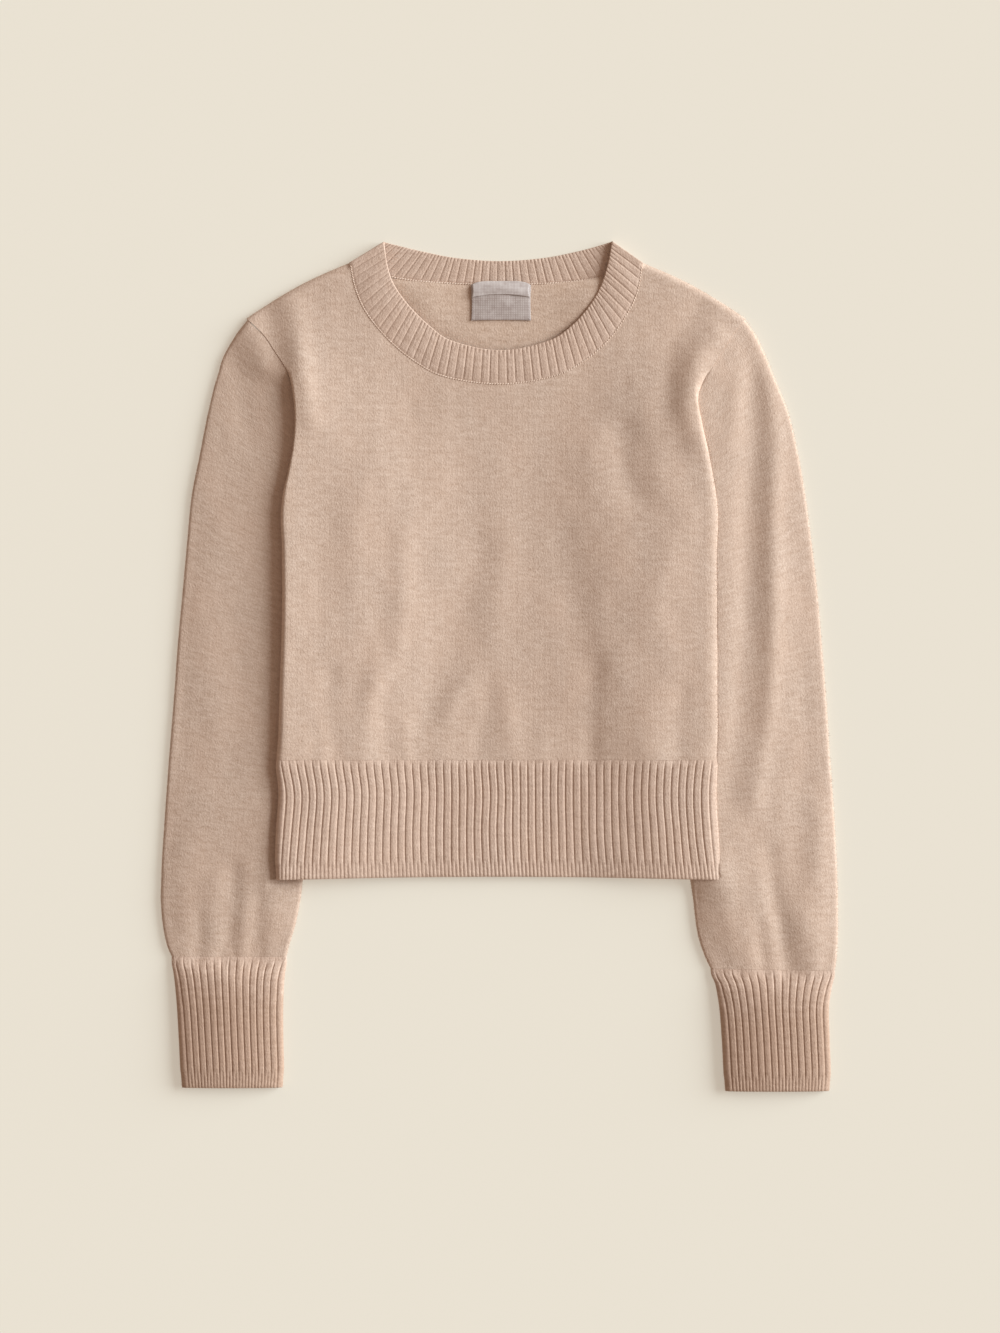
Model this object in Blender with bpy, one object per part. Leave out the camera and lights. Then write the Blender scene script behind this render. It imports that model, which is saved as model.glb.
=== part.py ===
# Cropped crew-neck knit sweater, laid out flat with its front up and its sleeves
# turned down beside the body. Metres: +X across, +Y towards the collar, +Z up from
# the surface that it lies on. The origin is under the middle of the garment.

import math
from collections import namedtuple

import bmesh
import bpy
from mathutils import Vector

COLLECTION = "cropped_knit_sweater"

# Cloth
WALL = 0.0018            # plain knit
RIB_WALL = 0.0020        # ribbed bands between their ribs
LABEL_WALL = 0.0010
SEAM_GAP = 0.0003        # between neighbouring pieces
CURVE_GAP = 0.0012       # the same across a curved seam, whose facets bow
RIB_HEIGHT = 0.0009
EDGE_THIN = 0.0005       # a rib band's free edge is this much thinner on each side
CUFF_EDGE_THIN = 0.0004

# Heights of two layers that lie on each other
BODY_LOFT = 0.0068
NECK_LOFT = 0.0076
SLEEVE_LOFT = 0.0072
PRESSED_LOFT = 0.0050    # a sleeve where the body lies on it
CUFF_LOFT = 0.0058
LEAST_LOFT = 2 * WALL + 0.0010
LIFT = PRESSED_LOFT + 0.0008

# Where the body climbs onto a sleeve
LIFT_MARGIN = 0.018
LIFT_RAMP = 0.034
COVER_MARGIN = 0.006
COVER_RAMP = 0.014
SLEEVE_HEAD_Y = 0.19     # above this a pressed sleeve rises to the armhole seam
SLEEVE_HEAD_RAMP = 0.04

# Seams and ribs
HEM_SEAM_Y = -0.0752
HEM_SAG = 0.0024         # the hem's middle stands this much above its corners
HEM_HALF_WIDTH = 0.178
HEM_RIBS = 57
CUFF_RIBS = 15
NECK_FRONT_RIBS = 46
NECK_BACK_RIBS = 34
NECK_CENTRE_Y = 0.354
NECK_SEAM_RADIUS = 0.1285
NECK_SEAM_Y = NECK_CENTRE_Y - NECK_SEAM_RADIUS
FOLD_Y = 0.3232          # the neckband's folds, at the shoulders
NECK_RISE = 0.030        # how far below them the neckline reaches its height
NECK_FADE = 0.04         # and how far from the seam it falls back to the body's
SHOULDER_BOW = 0.0035    # the shoulders curve outwards this much
SHOULDER_SHARE = 0.21    # of a panel's columns, at each shoulder
NECK_CORNER = 0.008      # share of them close beside the neckline's corners
SHOULDER_LEAN = (0.45, 0.89)     # which way a shoulder's rolled edge faces
ARMHOLE_AWAY = (0.8, -0.6)       # which way a sleeve lies off the armhole seam
BUTT_Y = 0.236           # above this the body's edge is the armhole seam
ROLL_Y = 0.216           # below this the body's edge is rolled

LEFT = -1
RIGHT = 1

# Side edges of the body, from the hem up to the shoulder points
Edge = namedtuple("Edge", "y left right")
BODY_EDGES = (
    Edge(-0.1712, -0.1780, 0.1772),
    Edge(-0.1552, -0.1788, 0.1762),
    Edge(-0.1312, -0.1784, 0.1748),
    Edge(-0.1000, -0.1764, 0.1732),
    Edge(-0.0768, -0.1784, 0.1740),
    Edge(-0.0592, -0.1772, 0.1747),
    Edge(-0.0112, -0.1756, 0.1745),
    Edge(0.0368, -0.1740, 0.1744),
    Edge(0.0944, -0.1740, 0.1740),
    Edge(0.1232, -0.1748, 0.1748),
    Edge(0.1376, -0.1732, 0.1732),
    Edge(0.1544, -0.1692, 0.1704),
    Edge(0.1744, -0.1652, 0.1666),
    Edge(0.1944, -0.1636, 0.1620),
    Edge(0.2176, -0.1652, 0.1594),
    Edge(0.2288, -0.1674, 0.1640),
    Edge(0.2360, -0.1698, 0.1682),
    Edge(0.2504, -0.1788, 0.1776),
    Edge(0.2656, -0.1892, 0.1868),
    Edge(0.2784, -0.2028, 0.1972),
)

# Stations round the neckband, in order: its seam edge and its free edge. The first
# and last rows of each half are the folds at the shoulders.
Neck = namedtuple("Neck", "seam_x seam_y free_x free_y")
NECK_FRONT = (
    Neck(-0.1196, 0.3232, -0.0924, 0.3400),
    Neck(-0.1156, 0.3032, -0.0896, 0.3208),
    Neck(-0.1068, 0.2832, -0.0844, 0.3056),
    Neck(-0.0900, 0.2624, -0.0732, 0.2896),
    Neck(-0.0692, 0.2448, -0.0572, 0.2736),
    Neck(-0.0436, 0.2316, -0.0380, 0.2604),
    Neck(0.0004, 0.2256, 0.0004, 0.2528),
    Neck(0.0436, 0.2320, 0.0388, 0.2604),
    Neck(0.0684, 0.2448, 0.0588, 0.2736),
    Neck(0.0884, 0.2624, 0.0732, 0.2904),
    Neck(0.1028, 0.2832, 0.0812, 0.3048),
    Neck(0.1108, 0.3016, 0.0868, 0.3224),
    Neck(0.1140, 0.3232, 0.0900, 0.3404),
)
NECK_BACK = (
    NECK_FRONT[-1],
    Neck(0.0964, 0.3160, 0.0788, 0.3368),
    Neck(0.0724, 0.3100, 0.0604, 0.3320),
    Neck(0.0404, 0.3068, 0.0348, 0.3272),
    Neck(0.0004, 0.3056, 0.0004, 0.3248),
    Neck(-0.0396, 0.3068, -0.0340, 0.3272),
    Neck(-0.0756, 0.3100, -0.0596, 0.3320),
    Neck(-0.1020, 0.3160, -0.0796, 0.3368),
    NECK_FRONT[0],
)

# Sections of each sleeve from the armhole seam down to the cuff seam: its outer
# edge, and its inner edge, which runs under the body as far as the hem.
Section = namedtuple("Section", "outer_x outer_y inner_x inner_y")
SLEEVE_SECTIONS = {
    LEFT: (
        Section(-0.2028, 0.2780, -0.1700, 0.2356),
        Section(-0.2122, 0.2640, -0.1664, 0.2140),
        Section(-0.2214, 0.2480, -0.1646, 0.1900),
        Section(-0.2254, 0.2350, -0.1540, 0.1760),
        Section(-0.2290, 0.2230, -0.1400, 0.1620),
        Section(-0.2350, 0.1970, -0.1220, 0.1400),
        Section(-0.2404, 0.1690, -0.1156, 0.1168),
        Section(-0.2468, 0.1368, -0.1172, 0.0888),
        Section(-0.2504, 0.1008, -0.1212, 0.0568),
        Section(-0.2540, 0.0608, -0.1268, 0.0208),
        Section(-0.2580, 0.0168, -0.1332, -0.0152),
        Section(-0.2612, -0.0272, -0.1396, -0.0512),
        Section(-0.2648, -0.0712, -0.1460, -0.0872),
        Section(-0.2680, -0.1152, -0.1516, -0.1248),
        Section(-0.2706, -0.1540, -0.1556, -0.1580),
        Section(-0.2712, -0.1712, -0.1578, -0.1732),
        Section(-0.2716, -0.1872, -0.1596, -0.1872),
        Section(-0.2700, -0.2072, -0.1636, -0.2072),
        Section(-0.2668, -0.2232, -0.1684, -0.2232),
        Section(-0.2628, -0.2328, -0.1708, -0.2328),
    ),
    RIGHT: (
        Section(0.1972, 0.2780, 0.1624, 0.2302),
        Section(0.2060, 0.2640, 0.1602, 0.2100),
        Section(0.2140, 0.2470, 0.1636, 0.1890),
        Section(0.2184, 0.2360, 0.1520, 0.1750),
        Section(0.2224, 0.2260, 0.1400, 0.1620),
        Section(0.2316, 0.2030, 0.1212, 0.1392),
        Section(0.2388, 0.1728, 0.1140, 0.1152),
        Section(0.2452, 0.1368, 0.1132, 0.0872),
        Section(0.2504, 0.0968, 0.1164, 0.0552),
        Section(0.2548, 0.0592, 0.1204, 0.0192),
        Section(0.2584, 0.0168, 0.1260, -0.0168),
        Section(0.2620, -0.0272, 0.1316, -0.0528),
        Section(0.2648, -0.0712, 0.1376, -0.0888),
        Section(0.2680, -0.1152, 0.1436, -0.1256),
        Section(0.2702, -0.1540, 0.1496, -0.1580),
        Section(0.2708, -0.1712, 0.1530, -0.1732),
        Section(0.2712, -0.1872, 0.1552, -0.1872),
        Section(0.2712, -0.2152, 0.1584, -0.2128),
        Section(0.2704, -0.2328, 0.1622, -0.2312),
        Section(0.2688, -0.2440, 0.1672, -0.2424),
    ),
}
HIDDEN_FROM = 3          # the first section whose inner edge is under the body

# Cuffs, from the seam down
Cuff = namedtuple("Cuff", "y left right")
CUFFS = {
    LEFT: (
        Cuff(-0.2332, -0.2628, -0.1708),
        Cuff(-0.2512, -0.2600, -0.1730),
        Cuff(-0.2672, -0.2584, -0.1738),
        Cuff(-0.2992, -0.2564, -0.1738),
        Cuff(-0.3264, -0.2550, -0.1734),
        Cuff(-0.3376, -0.2542, -0.1740),
    ),
    RIGHT: (
        Cuff(-0.2444, 0.1676, 0.2688),
        Cuff(-0.2552, 0.1726, 0.2662),
        Cuff(-0.2672, 0.1756, 0.2640),
        Cuff(-0.2992, 0.1786, 0.2640),
        Cuff(-0.3288, 0.1802, 0.2648),
        Cuff(-0.3404, 0.1810, 0.2642),
    ),
}

# Soft ridges (height above 0) and troughs (below 0) along straight stretches
Fold = namedtuple("Fold", "x0 y0 x1 y1 height width")
BODY_FOLDS = (
    Fold(0.1600, 0.2680, 0.1448, 0.2350, -0.0018, 0.009),
    Fold(0.1448, 0.2350, 0.1440, 0.2080, -0.0024, 0.009),
    Fold(0.1440, 0.2080, 0.1530, 0.1840, -0.0018, 0.009),
    Fold(0.1160, 0.1900, 0.1180, 0.1500, -0.0012, 0.018),
    Fold(0.0760, 0.0900, 0.0920, -0.0200, -0.0012, 0.016),
    Fold(0.0920, -0.0200, 0.0840, -0.0720, -0.0016, 0.012),
    Fold(-0.1180, 0.0100, -0.1190, -0.0720, -0.0016, 0.009),
    Fold(-0.0100, 0.0900, -0.0560, -0.0560, -0.0014, 0.013),
    Fold(0.0020, -0.0300, 0.0050, -0.0720, -0.0010, 0.009),
    Fold(-0.0620, 0.0900, -0.0760, -0.0500, 0.0014, 0.014),
    Fold(0.0280, 0.0900, 0.0380, -0.0700, 0.0012, 0.018),
    Fold(0.1380, 0.0800, 0.1460, -0.0500, 0.0010, 0.014),
    Fold(-0.1360, 0.2500, -0.1280, 0.1500, 0.0010, 0.018),
)
SLEEVE_FOLDS = {
    LEFT: (
        Fold(-0.2500, 0.0500, -0.2540, -0.1300, -0.0009, 0.010),
        Fold(-0.2550, -0.1700, -0.2520, -0.2300, -0.0016, 0.008),
        Fold(-0.2180, -0.1750, -0.2150, -0.2300, -0.0018, 0.009),
        Fold(-0.2360, -0.1500, -0.2340, -0.2200, 0.0008, 0.008),
        Fold(-0.1950, -0.1800, -0.1960, -0.2250, 0.0008, 0.009),
    ),
    RIGHT: (
        Fold(0.1950, 0.2640, 0.2100, 0.2080, -0.0018, 0.008),
        Fold(0.2100, 0.2080, 0.2100, 0.1000, -0.0026, 0.009),
        Fold(0.2100, 0.1000, 0.2110, 0.0000, -0.0026, 0.009),
        Fold(0.2110, 0.0000, 0.1980, -0.1000, -0.0020, 0.009),
        Fold(0.2310, -0.1900, 0.2300, -0.2420, -0.0020, 0.008),
        Fold(0.1800, -0.1900, 0.1880, -0.2420, -0.0018, 0.009),
        Fold(0.2060, -0.1700, 0.2080, -0.2300, 0.0008, 0.012),
    ),
}

# Labels inside the back of the neck
LABEL_X = 0.0012
MAIN_LABEL = (0.048, 0.0290)
MAIN_LABEL_Y = 0.2912
SMALL_LABEL = (0.042, 0.0120)
SMALL_LABEL_Y = 0.3028
LABEL_CURL = 0.0010      # the small label's lower edge stands up this much

# How finely each piece is divided
ROLL_ANGLES = tuple(math.radians(a) for a in (0, 30, 60, 90))
COARSE_ROLL = tuple(math.radians(a) for a in (0, 45, 90))
TUBE_TURNS = (-90, -50, -15, 15, 50, 90)
FOLD_TURNS = (60, 30, 0, -30, -60)
# Rows of a rib band: share of its height from the seam, share of the ribs' height
Level = namedtuple("Level", "share rib thin")
HEM_LEVELS = (Level(0.0, 0.5, 0.0), Level(0.06, 1.0, 0.0), Level(0.85, 1.0, 0.0),
              Level(1.0, 0.3, EDGE_THIN))
PLAIN_LEVELS = (Level(0.0, 0.0, 0.0), Level(0.5, 0.0, 0.0), Level(1.0, 0.0, EDGE_THIN))
CUFF_LEVELS = (Level(0.0, 0.5, 0.0), Level(0.08, 1.0, 0.0), Level(0.30, 1.0, 0.0),
               Level(0.84, 1.0, 0.0), Level(1.0, 0.3, CUFF_EDGE_THIN))
NECK_LEVELS = (Level(0.0, 0.5, 0.0), Level(0.12, 1.0, 0.0), Level(0.84, 1.0, 0.0),
               Level(1.0, 0.3, EDGE_THIN))
# Columns of each shoulder and of the neckline, rows below and above FINE_ROWS_FROM
PanelGrid = namedtuple("PanelGrid", "shoulder neck low_rows high_rows")
FRONT_GRID = PanelGrid(4, 18, 11, 10)
BACK_GRID = PanelGrid(4, 18, 8, 10)
SIDE_PULL = 10           # how soon a panel's columns stop following its sides
FINE_ROWS_FROM = 0.74        # share of the side edge's height
BACK_HEM_COLUMNS = 28
NECK_SAMPLES = 240
LABEL_ROWS = 4
LABEL_COLUMNS = 6
SLEEVE_UPPER = 12
SLEEVE_LOWER = 4

KNIT = (0.62, 0.45, 0.34, 1.0)
RIB = (0.54, 0.38, 0.28, 1.0)
LABEL = (0.55, 0.50, 0.47, 1.0)


def smoothstep(value):
    value = min(max(value, 0.0), 1.0)
    return value * value * (3 - 2 * value)


def spline(points, position):
    """A point on the smooth curve through points; position counts them from 0."""
    index = min(max(int(position), 0), len(points) - 2)
    t = position - index
    before = points[max(index - 1, 0)]
    start = points[index]
    end = points[index + 1]
    after = points[min(index + 2, len(points) - 1)]
    leave = (end - before) / 2
    arrive = (after - start) / 2
    return (start * (2 * t**3 - 3 * t**2 + 1) + leave * (t**3 - 2 * t**2 + t)
            + end * (3 * t**2 - 2 * t**3) + arrive * (t**3 - t**2))


def table_value(rows, column, y):
    """A column's value at height y, on straight lines between a table's rows."""
    for low, high in zip(rows, rows[1:]):
        if min(low.y, high.y) <= y <= max(low.y, high.y):
            share = (y - low.y) / (high.y - low.y)
            return getattr(low, column) * (1 - share) + getattr(high, column) * share
    nearest = min(rows, key=lambda row: abs(row.y - y))
    return getattr(nearest, column)


def body_edge(side, y):
    return table_value(BODY_EDGES, "left" if side == LEFT else "right", y)


def segment_distance(x, y, x0, y0, x1, y1):
    start = Vector((x0, y0))
    along = Vector((x1, y1)) - start
    offset = Vector((x, y)) - start
    share = min(max(offset.dot(along) / along.length_squared, 0.0), 1.0)
    return (offset - along * share).length


def fold_height(folds, x, y):
    total = 0.0
    for fold in folds:
        away = segment_distance(x, y, fold.x0, fold.y0, fold.x1, fold.y1)
        total += fold.height * math.exp(-((away / fold.width) ** 2))
    return total


def hidden_edge(side):
    return [(s.inner_x, s.inner_y) for s in SLEEVE_SECTIONS[side][HIDDEN_FROM - 1:]]


def body_lift(x, y):
    """How far a sleeve under the body holds it off the surface."""
    side = LEFT if x < 0 else RIGHT
    edge = hidden_edge(side)
    nearest = min(segment_distance(x, y, *a, *b) for a, b in zip(edge, edge[1:]))
    for (x0, y0), (x1, y1) in zip(edge, edge[1:]):
        if y1 <= y <= y0:
            boundary = x0 + (x1 - x0) * (y - y0) / (y1 - y0)
            if (x - boundary) * side > 0:
                nearest = 0.0
    return LIFT * (1 - smoothstep((nearest - LIFT_MARGIN) / LIFT_RAMP))


def neck_raise(x, y):
    """The neckline stands a little higher than the rest of the front."""
    away = math.hypot(x, y - NECK_CENTRE_Y) - NECK_SEAM_RADIUS
    return (NECK_LOFT - BODY_LOFT) * (1 - smoothstep(away / NECK_FADE))


def body_top(x, y):
    loft = BODY_LOFT + neck_raise(x, y) * smoothstep((FOLD_Y - y) / NECK_RISE)
    loft += fold_height(BODY_FOLDS, x, y)
    return body_lift(x, y) + max(loft, LEAST_LOFT)


def sleeve_top(side, x, y):
    edge = body_edge(side, min(y, BODY_EDGES[-1].y))
    beside = (x - edge) * side
    below = BODY_EDGES[0].y - y
    head = smoothstep((y - SLEEVE_HEAD_Y) / SLEEVE_HEAD_RAMP)
    pressed = PRESSED_LOFT + (BODY_LOFT - PRESSED_LOFT) * head
    free = smoothstep((max(beside, below) - COVER_MARGIN) / COVER_RAMP)
    folds = fold_height(SLEEVE_FOLDS[side], x, y) * free
    loft = pressed + (SLEEVE_LOFT - pressed) * free + folds
    return max(loft, LEAST_LOFT)


def cloth(name, outer, inner, colour, closed=False):
    """A closed wall between two matching grids of points, a list for each row."""
    shell = bmesh.new()
    skins = [[[shell.verts.new(p) for p in row] for row in skin] for skin in (outer, inner)]
    rows = len(outer)
    columns = len(outer[0])
    steps = columns if closed else columns - 1
    for skin in skins:
        for row in range(rows - 1):
            for column in range(steps):
                turn = (column + 1) % columns
                shell.faces.new((skin[row][column], skin[row][turn],
                                 skin[row + 1][turn], skin[row + 1][column]))
    top, under = skins
    for row in (0, rows - 1):
        for column in range(steps):
            turn = (column + 1) % columns
            shell.faces.new((top[row][column], top[row][turn],
                             under[row][turn], under[row][column]))
    if not closed:
        for column in (0, columns - 1):
            for row in range(rows - 1):
                shell.faces.new((top[row][column], top[row + 1][column],
                                 under[row + 1][column], under[row][column]))
    bmesh.ops.triangulate(shell, faces=shell.faces[:], quad_method="FIXED")
    bmesh.ops.recalc_face_normals(shell, faces=shell.faces[:])
    mesh = bpy.data.meshes.new(name)
    shell.to_mesh(mesh)
    shell.free()
    mesh.shade_smooth()
    material = bpy.data.materials.new(name + "_cloth")
    material.use_nodes = True
    finish = material.node_tree.nodes["Principled BSDF"]
    finish.inputs["Base Color"].default_value = colour
    finish.inputs["Roughness"].default_value = 0.95
    mesh.materials.append(material)
    piece = bpy.data.objects.new(name, mesh)
    bpy.data.collections[COLLECTION].objects.link(piece)
    return piece


def shoulder_line(side, share):
    """From the neckband's corner (0) to the shoulder point (1)."""
    neck = NECK_FRONT[0] if side == LEFT else NECK_FRONT[-1]
    start = Vector((neck.seam_x, neck.seam_y))
    end = Vector((body_edge(side, BODY_EDGES[-1].y), BODY_EDGES[-1].y))
    bow = SHOULDER_BOW * math.sin(math.pi * share)
    return start.lerp(end, share) + Vector((0, bow))


def panel_outline(neckline):
    """The four sides of the front or back, as functions of a share from 0 to 1."""
    low_left = body_edge(LEFT, HEM_SEAM_Y)
    low_right = body_edge(RIGHT, HEM_SEAM_Y)
    low_y = HEM_SEAM_Y + SEAM_GAP / 2
    top_y = BODY_EDGES[-1].y
    width = low_right - low_left
    right_share = 1 - SHOULDER_SHARE
    seam = [Vector((n.seam_x, n.seam_y)) for n in neckline]

    def bottom(u):
        return Vector((low_left + width * u, low_y))

    def top(u):
        if u <= SHOULDER_SHARE:
            return shoulder_line(LEFT, 1 - u / SHOULDER_SHARE)
        if u >= right_share:
            return shoulder_line(RIGHT, (u - right_share) / SHOULDER_SHARE)
        along = (u - SHOULDER_SHARE) / (right_share - SHOULDER_SHARE)
        return spline(seam, along * (len(seam) - 1))

    def left(v):
        y = low_y + (top_y - low_y) * v
        return Vector((body_edge(LEFT, y), y))

    def right(v):
        y = low_y + (top_y - low_y) * v
        return Vector((body_edge(RIGHT, y), y))

    return bottom, top, left, right


def panel(name, neckline, face, grid, angles):
    """The front (face 1) or back (face -1), rolled at its sides and shoulders."""
    bottom, top, left, right = panel_outline(neckline)
    radius = BODY_LOFT / 2
    last = len(angles) - 1

    def place(u, v):
        """On a straight line up the panel, bent near the sides to follow them."""
        flat = bottom(u).lerp(top(u), v)
        flat += (left(v) - bottom(0).lerp(top(0), v)) * (1 - u) ** SIDE_PULL
        flat += (right(v) - bottom(1).lerp(top(1), v)) * u ** SIDE_PULL
        return flat

    inset = [radius * (1 - math.cos(a)) for a in angles]
    # (share across, distance in from the side, roll angle, side)
    columns = [(0.0, inset[k], angles[k], LEFT) for k in range(last + 1)]
    for k in range(1, grid.shoulder + 1):
        columns.append((SHOULDER_SHARE * k / grid.shoulder, 0.0, math.pi / 2, 0))
    neck_start = SHOULDER_SHARE + NECK_CORNER
    neck_share = 1 - 2 * neck_start
    for k in range(grid.neck + 1):
        columns.append((neck_start + neck_share * k / grid.neck, 0.0, math.pi / 2, 0))
    for k in range(grid.shoulder, 0, -1):
        columns.append((1 - SHOULDER_SHARE * k / grid.shoulder, 0.0, math.pi / 2, 0))
    for k in range(last, -1, -1):
        columns.append((1.0, inset[k], angles[k], RIGHT))

    rows = [(FINE_ROWS_FROM * k / grid.low_rows, 0.0, math.pi / 2)
            for k in range(grid.low_rows)]
    rows += [(FINE_ROWS_FROM + (1 - FINE_ROWS_FROM) * k / grid.high_rows, 0.0, math.pi / 2)
             for k in range(grid.high_rows)]
    rows += [(1.0, inset[k], angles[k]) for k in range(last, -1, -1)]

    outer = []
    inner = []
    for v_row, top_inset, top_angle in rows:
        outer_row = []
        inner_row = []
        for u_column, side_inset, side_angle, side in columns:
            reach = (top(u_column) - bottom(u_column)).length
            v = v_row - top_inset / reach
            span = (right(v) - left(v)).length
            u = u_column - side_inset / span * (side if side else 1)
            flat = place(u, v)
            roll_side = 0.0
            if side:
                roll_side = 1 - smoothstep((flat.y - ROLL_Y) / (BUTT_Y - ROLL_Y))
            on_shoulder = min(u_column, 1 - u_column) <= SHOULDER_SHARE + 1e-6
            roll_top = 1.0 if on_shoulder and top_angle < math.pi / 2 else 0.0
            drop = 1 - roll_side * (1 - math.sin(side_angle))
            drop *= 1 - roll_top * (1 - math.sin(top_angle))
            lift = body_lift(flat.x, flat.y)
            middle = lift + radius + face * SEAM_GAP / 2
            level = body_top(flat.x, flat.y) if face > 0 else lift
            z = middle + (level - middle) * drop
            across = side * math.cos(side_angle) * roll_side
            lean = SHOULDER_LEAN[0] if u_column > 0.5 else -SHOULDER_LEAN[0]
            up = math.cos(top_angle) * roll_top
            normal = Vector((across + lean * up, SHOULDER_LEAN[1] * up, face * drop))
            point = Vector((flat.x, flat.y, z))
            outer_row.append(point)
            inner_row.append(point - normal.normalized() * WALL)
        outer.append(outer_row)
        inner.append(inner_row)
    return cloth(name, outer, inner, KNIT)


def hem_bottom(x):
    return BODY_EDGES[0].y + HEM_SAG * (1 - (x / HEM_HALF_WIDTH) ** 2)


def hem(name, face, spots, angles, ribbed):
    """Half of the hem band; spots are its columns, as shares across the flat part."""
    radius = BODY_LOFT / 2
    levels = HEM_LEVELS if ribbed else PLAIN_LEVELS
    outer = []
    inner = []
    start = HEM_SEAM_Y - SEAM_GAP / 2
    for share, rib_share, thin in levels:
        middle_y = start + (BODY_EDGES[0].y + HEM_SAG - start) * share
        left = body_edge(LEFT, middle_y)
        right = body_edge(RIGHT, middle_y)
        entries = [(left + radius * (1 - math.cos(a)), a, LEFT, 0.0) for a in angles[:-1]]
        flat_left = left + radius
        flat_right = right - radius
        for share_x, rib in spots:
            x = flat_left + (flat_right - flat_left) * share_x
            entries.append((x, math.pi / 2, 0, rib))
        entries += [(right - radius * (1 - math.cos(a)), a, RIGHT, 0.0)
                    for a in reversed(angles[:-1])]
        outer_row = []
        inner_row = []
        for x, angle, side, rib in entries:
            y = start + (hem_bottom(x) - start) * share
            lift = body_lift(x, y)
            level = body_top(x, y) if face > 0 else lift
            middle = lift + radius + face * SEAM_GAP / 2
            z = middle + (level - face * thin - middle) * math.sin(angle)
            normal = Vector((side * math.cos(angle), 0, face * math.sin(angle)))
            point = Vector((x, y, z))
            outer_row.append(point + normal * rib * rib_share * RIB_HEIGHT)
            inner_row.append(point - normal * (RIB_WALL - 2 * thin))
        outer.append(outer_row)
        inner.append(inner_row)
    return cloth(name, outer, inner, RIB)


def rib_spots(ribs):
    """Shares from 0 to 1 with a valley between ribs and a peak on each."""
    return [(k / (2 * ribs), float(k % 2)) for k in range(2 * ribs + 1)]


def tube_ring(outer_edge, inner_edge, top, spots, lower, wall, ribs=0.0, bow=None):
    """A flattened ring on the surface: matching outer and inner points round it.

    outer_edge and inner_edge are its two side points, top gives the height of its
    upper layer, and spots are (share, rib) pairs across that layer.
    """
    across = (outer_edge - inner_edge).normalized()
    outer_radius = top(outer_edge) / 2
    inner_radius = top(inner_edge) / 2
    start = outer_edge - across * outer_radius
    end = inner_edge + across * inner_radius
    bow = bow or (lambda share: Vector((0, 0)))
    ring = []
    for angle in TUBE_TURNS:
        turn = math.radians(angle)
        flat = start + across * outer_radius * math.cos(turn) + bow(0.0)
        z = outer_radius * (1 + math.sin(turn))
        ring.append((flat, z, across * math.cos(turn), math.sin(turn), 0.0))
    for share, rib in spots:
        flat = start.lerp(end, share) + bow(share)
        ring.append((flat, top(flat), Vector((0, 0)), 1.0, rib * ribs))
    for angle in reversed(TUBE_TURNS):
        turn = math.radians(angle)
        flat = end - across * inner_radius * math.cos(turn) + bow(1.0)
        z = inner_radius * (1 + math.sin(turn))
        ring.append((flat, z, -across * math.cos(turn), math.sin(turn), 0.0))
    for k in range(1, lower):
        share = 1 - k / lower
        ring.append((start.lerp(end, share) + bow(share), 0.0, Vector((0, 0)), -1.0, 0.0))
    outer = []
    inner = []
    for flat, z, out, up, rib in ring:
        normal = Vector((out.x, out.y, up)).normalized()
        point = Vector((flat.x, flat.y, z))
        outer.append(point + normal * rib)
        inner.append(point - normal * wall)
    return outer, inner


def sleeve(name, side):
    sections = SLEEVE_SECTIONS[side]
    spots = [(k / SLEEVE_UPPER, 0.0) for k in range(1, SLEEVE_UPPER)]
    first = sections[0]
    shift = Vector((side * ARMHOLE_AWAY[0], ARMHOLE_AWAY[1])) * CURVE_GAP

    def armhole_bow(amount):
        start = Vector((first.outer_x, first.outer_y))
        end = Vector((first.inner_x, first.inner_y))

        def bow(share):
            straight = start.lerp(end, share)
            edge = Vector((body_edge(side, straight.y), straight.y))
            return ((edge - straight) + shift) * amount
        return bow

    outer = []
    inner = []
    for index, section in enumerate(sections):
        ring = tube_ring(
            Vector((section.outer_x, section.outer_y)),
            Vector((section.inner_x, section.inner_y)),
            lambda flat: sleeve_top(side, flat.x, flat.y),
            spots, SLEEVE_LOWER, WALL,
            bow=armhole_bow(1.0 if index == 0 else 0.0))
        outer.append(ring[0])
        inner.append(ring[1])
    return cloth(name, outer, inner, KNIT, closed=True)


def cuff(name, side):
    rows = CUFFS[side]
    start = rows[0].y - SEAM_GAP / 2
    outer = []
    inner = []
    for share, rib_share, thin in CUFF_LEVELS:
        y = start + (rows[-1].y - start) * share
        left = table_value(rows, "left", y)
        right = table_value(rows, "right", y)
        ring = tube_ring(
            Vector((left if side == LEFT else right, y)),
            Vector((right if side == LEFT else left, y)),
            lambda flat: CUFF_LOFT - thin,
            rib_spots(CUFF_RIBS)[1:-1], SLEEVE_LOWER, RIB_WALL, RIB_HEIGHT * rib_share)
        outer.append(ring[0])
        inner.append(ring[1])
    return cloth(name, outer, inner, RIB, closed=True)


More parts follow.
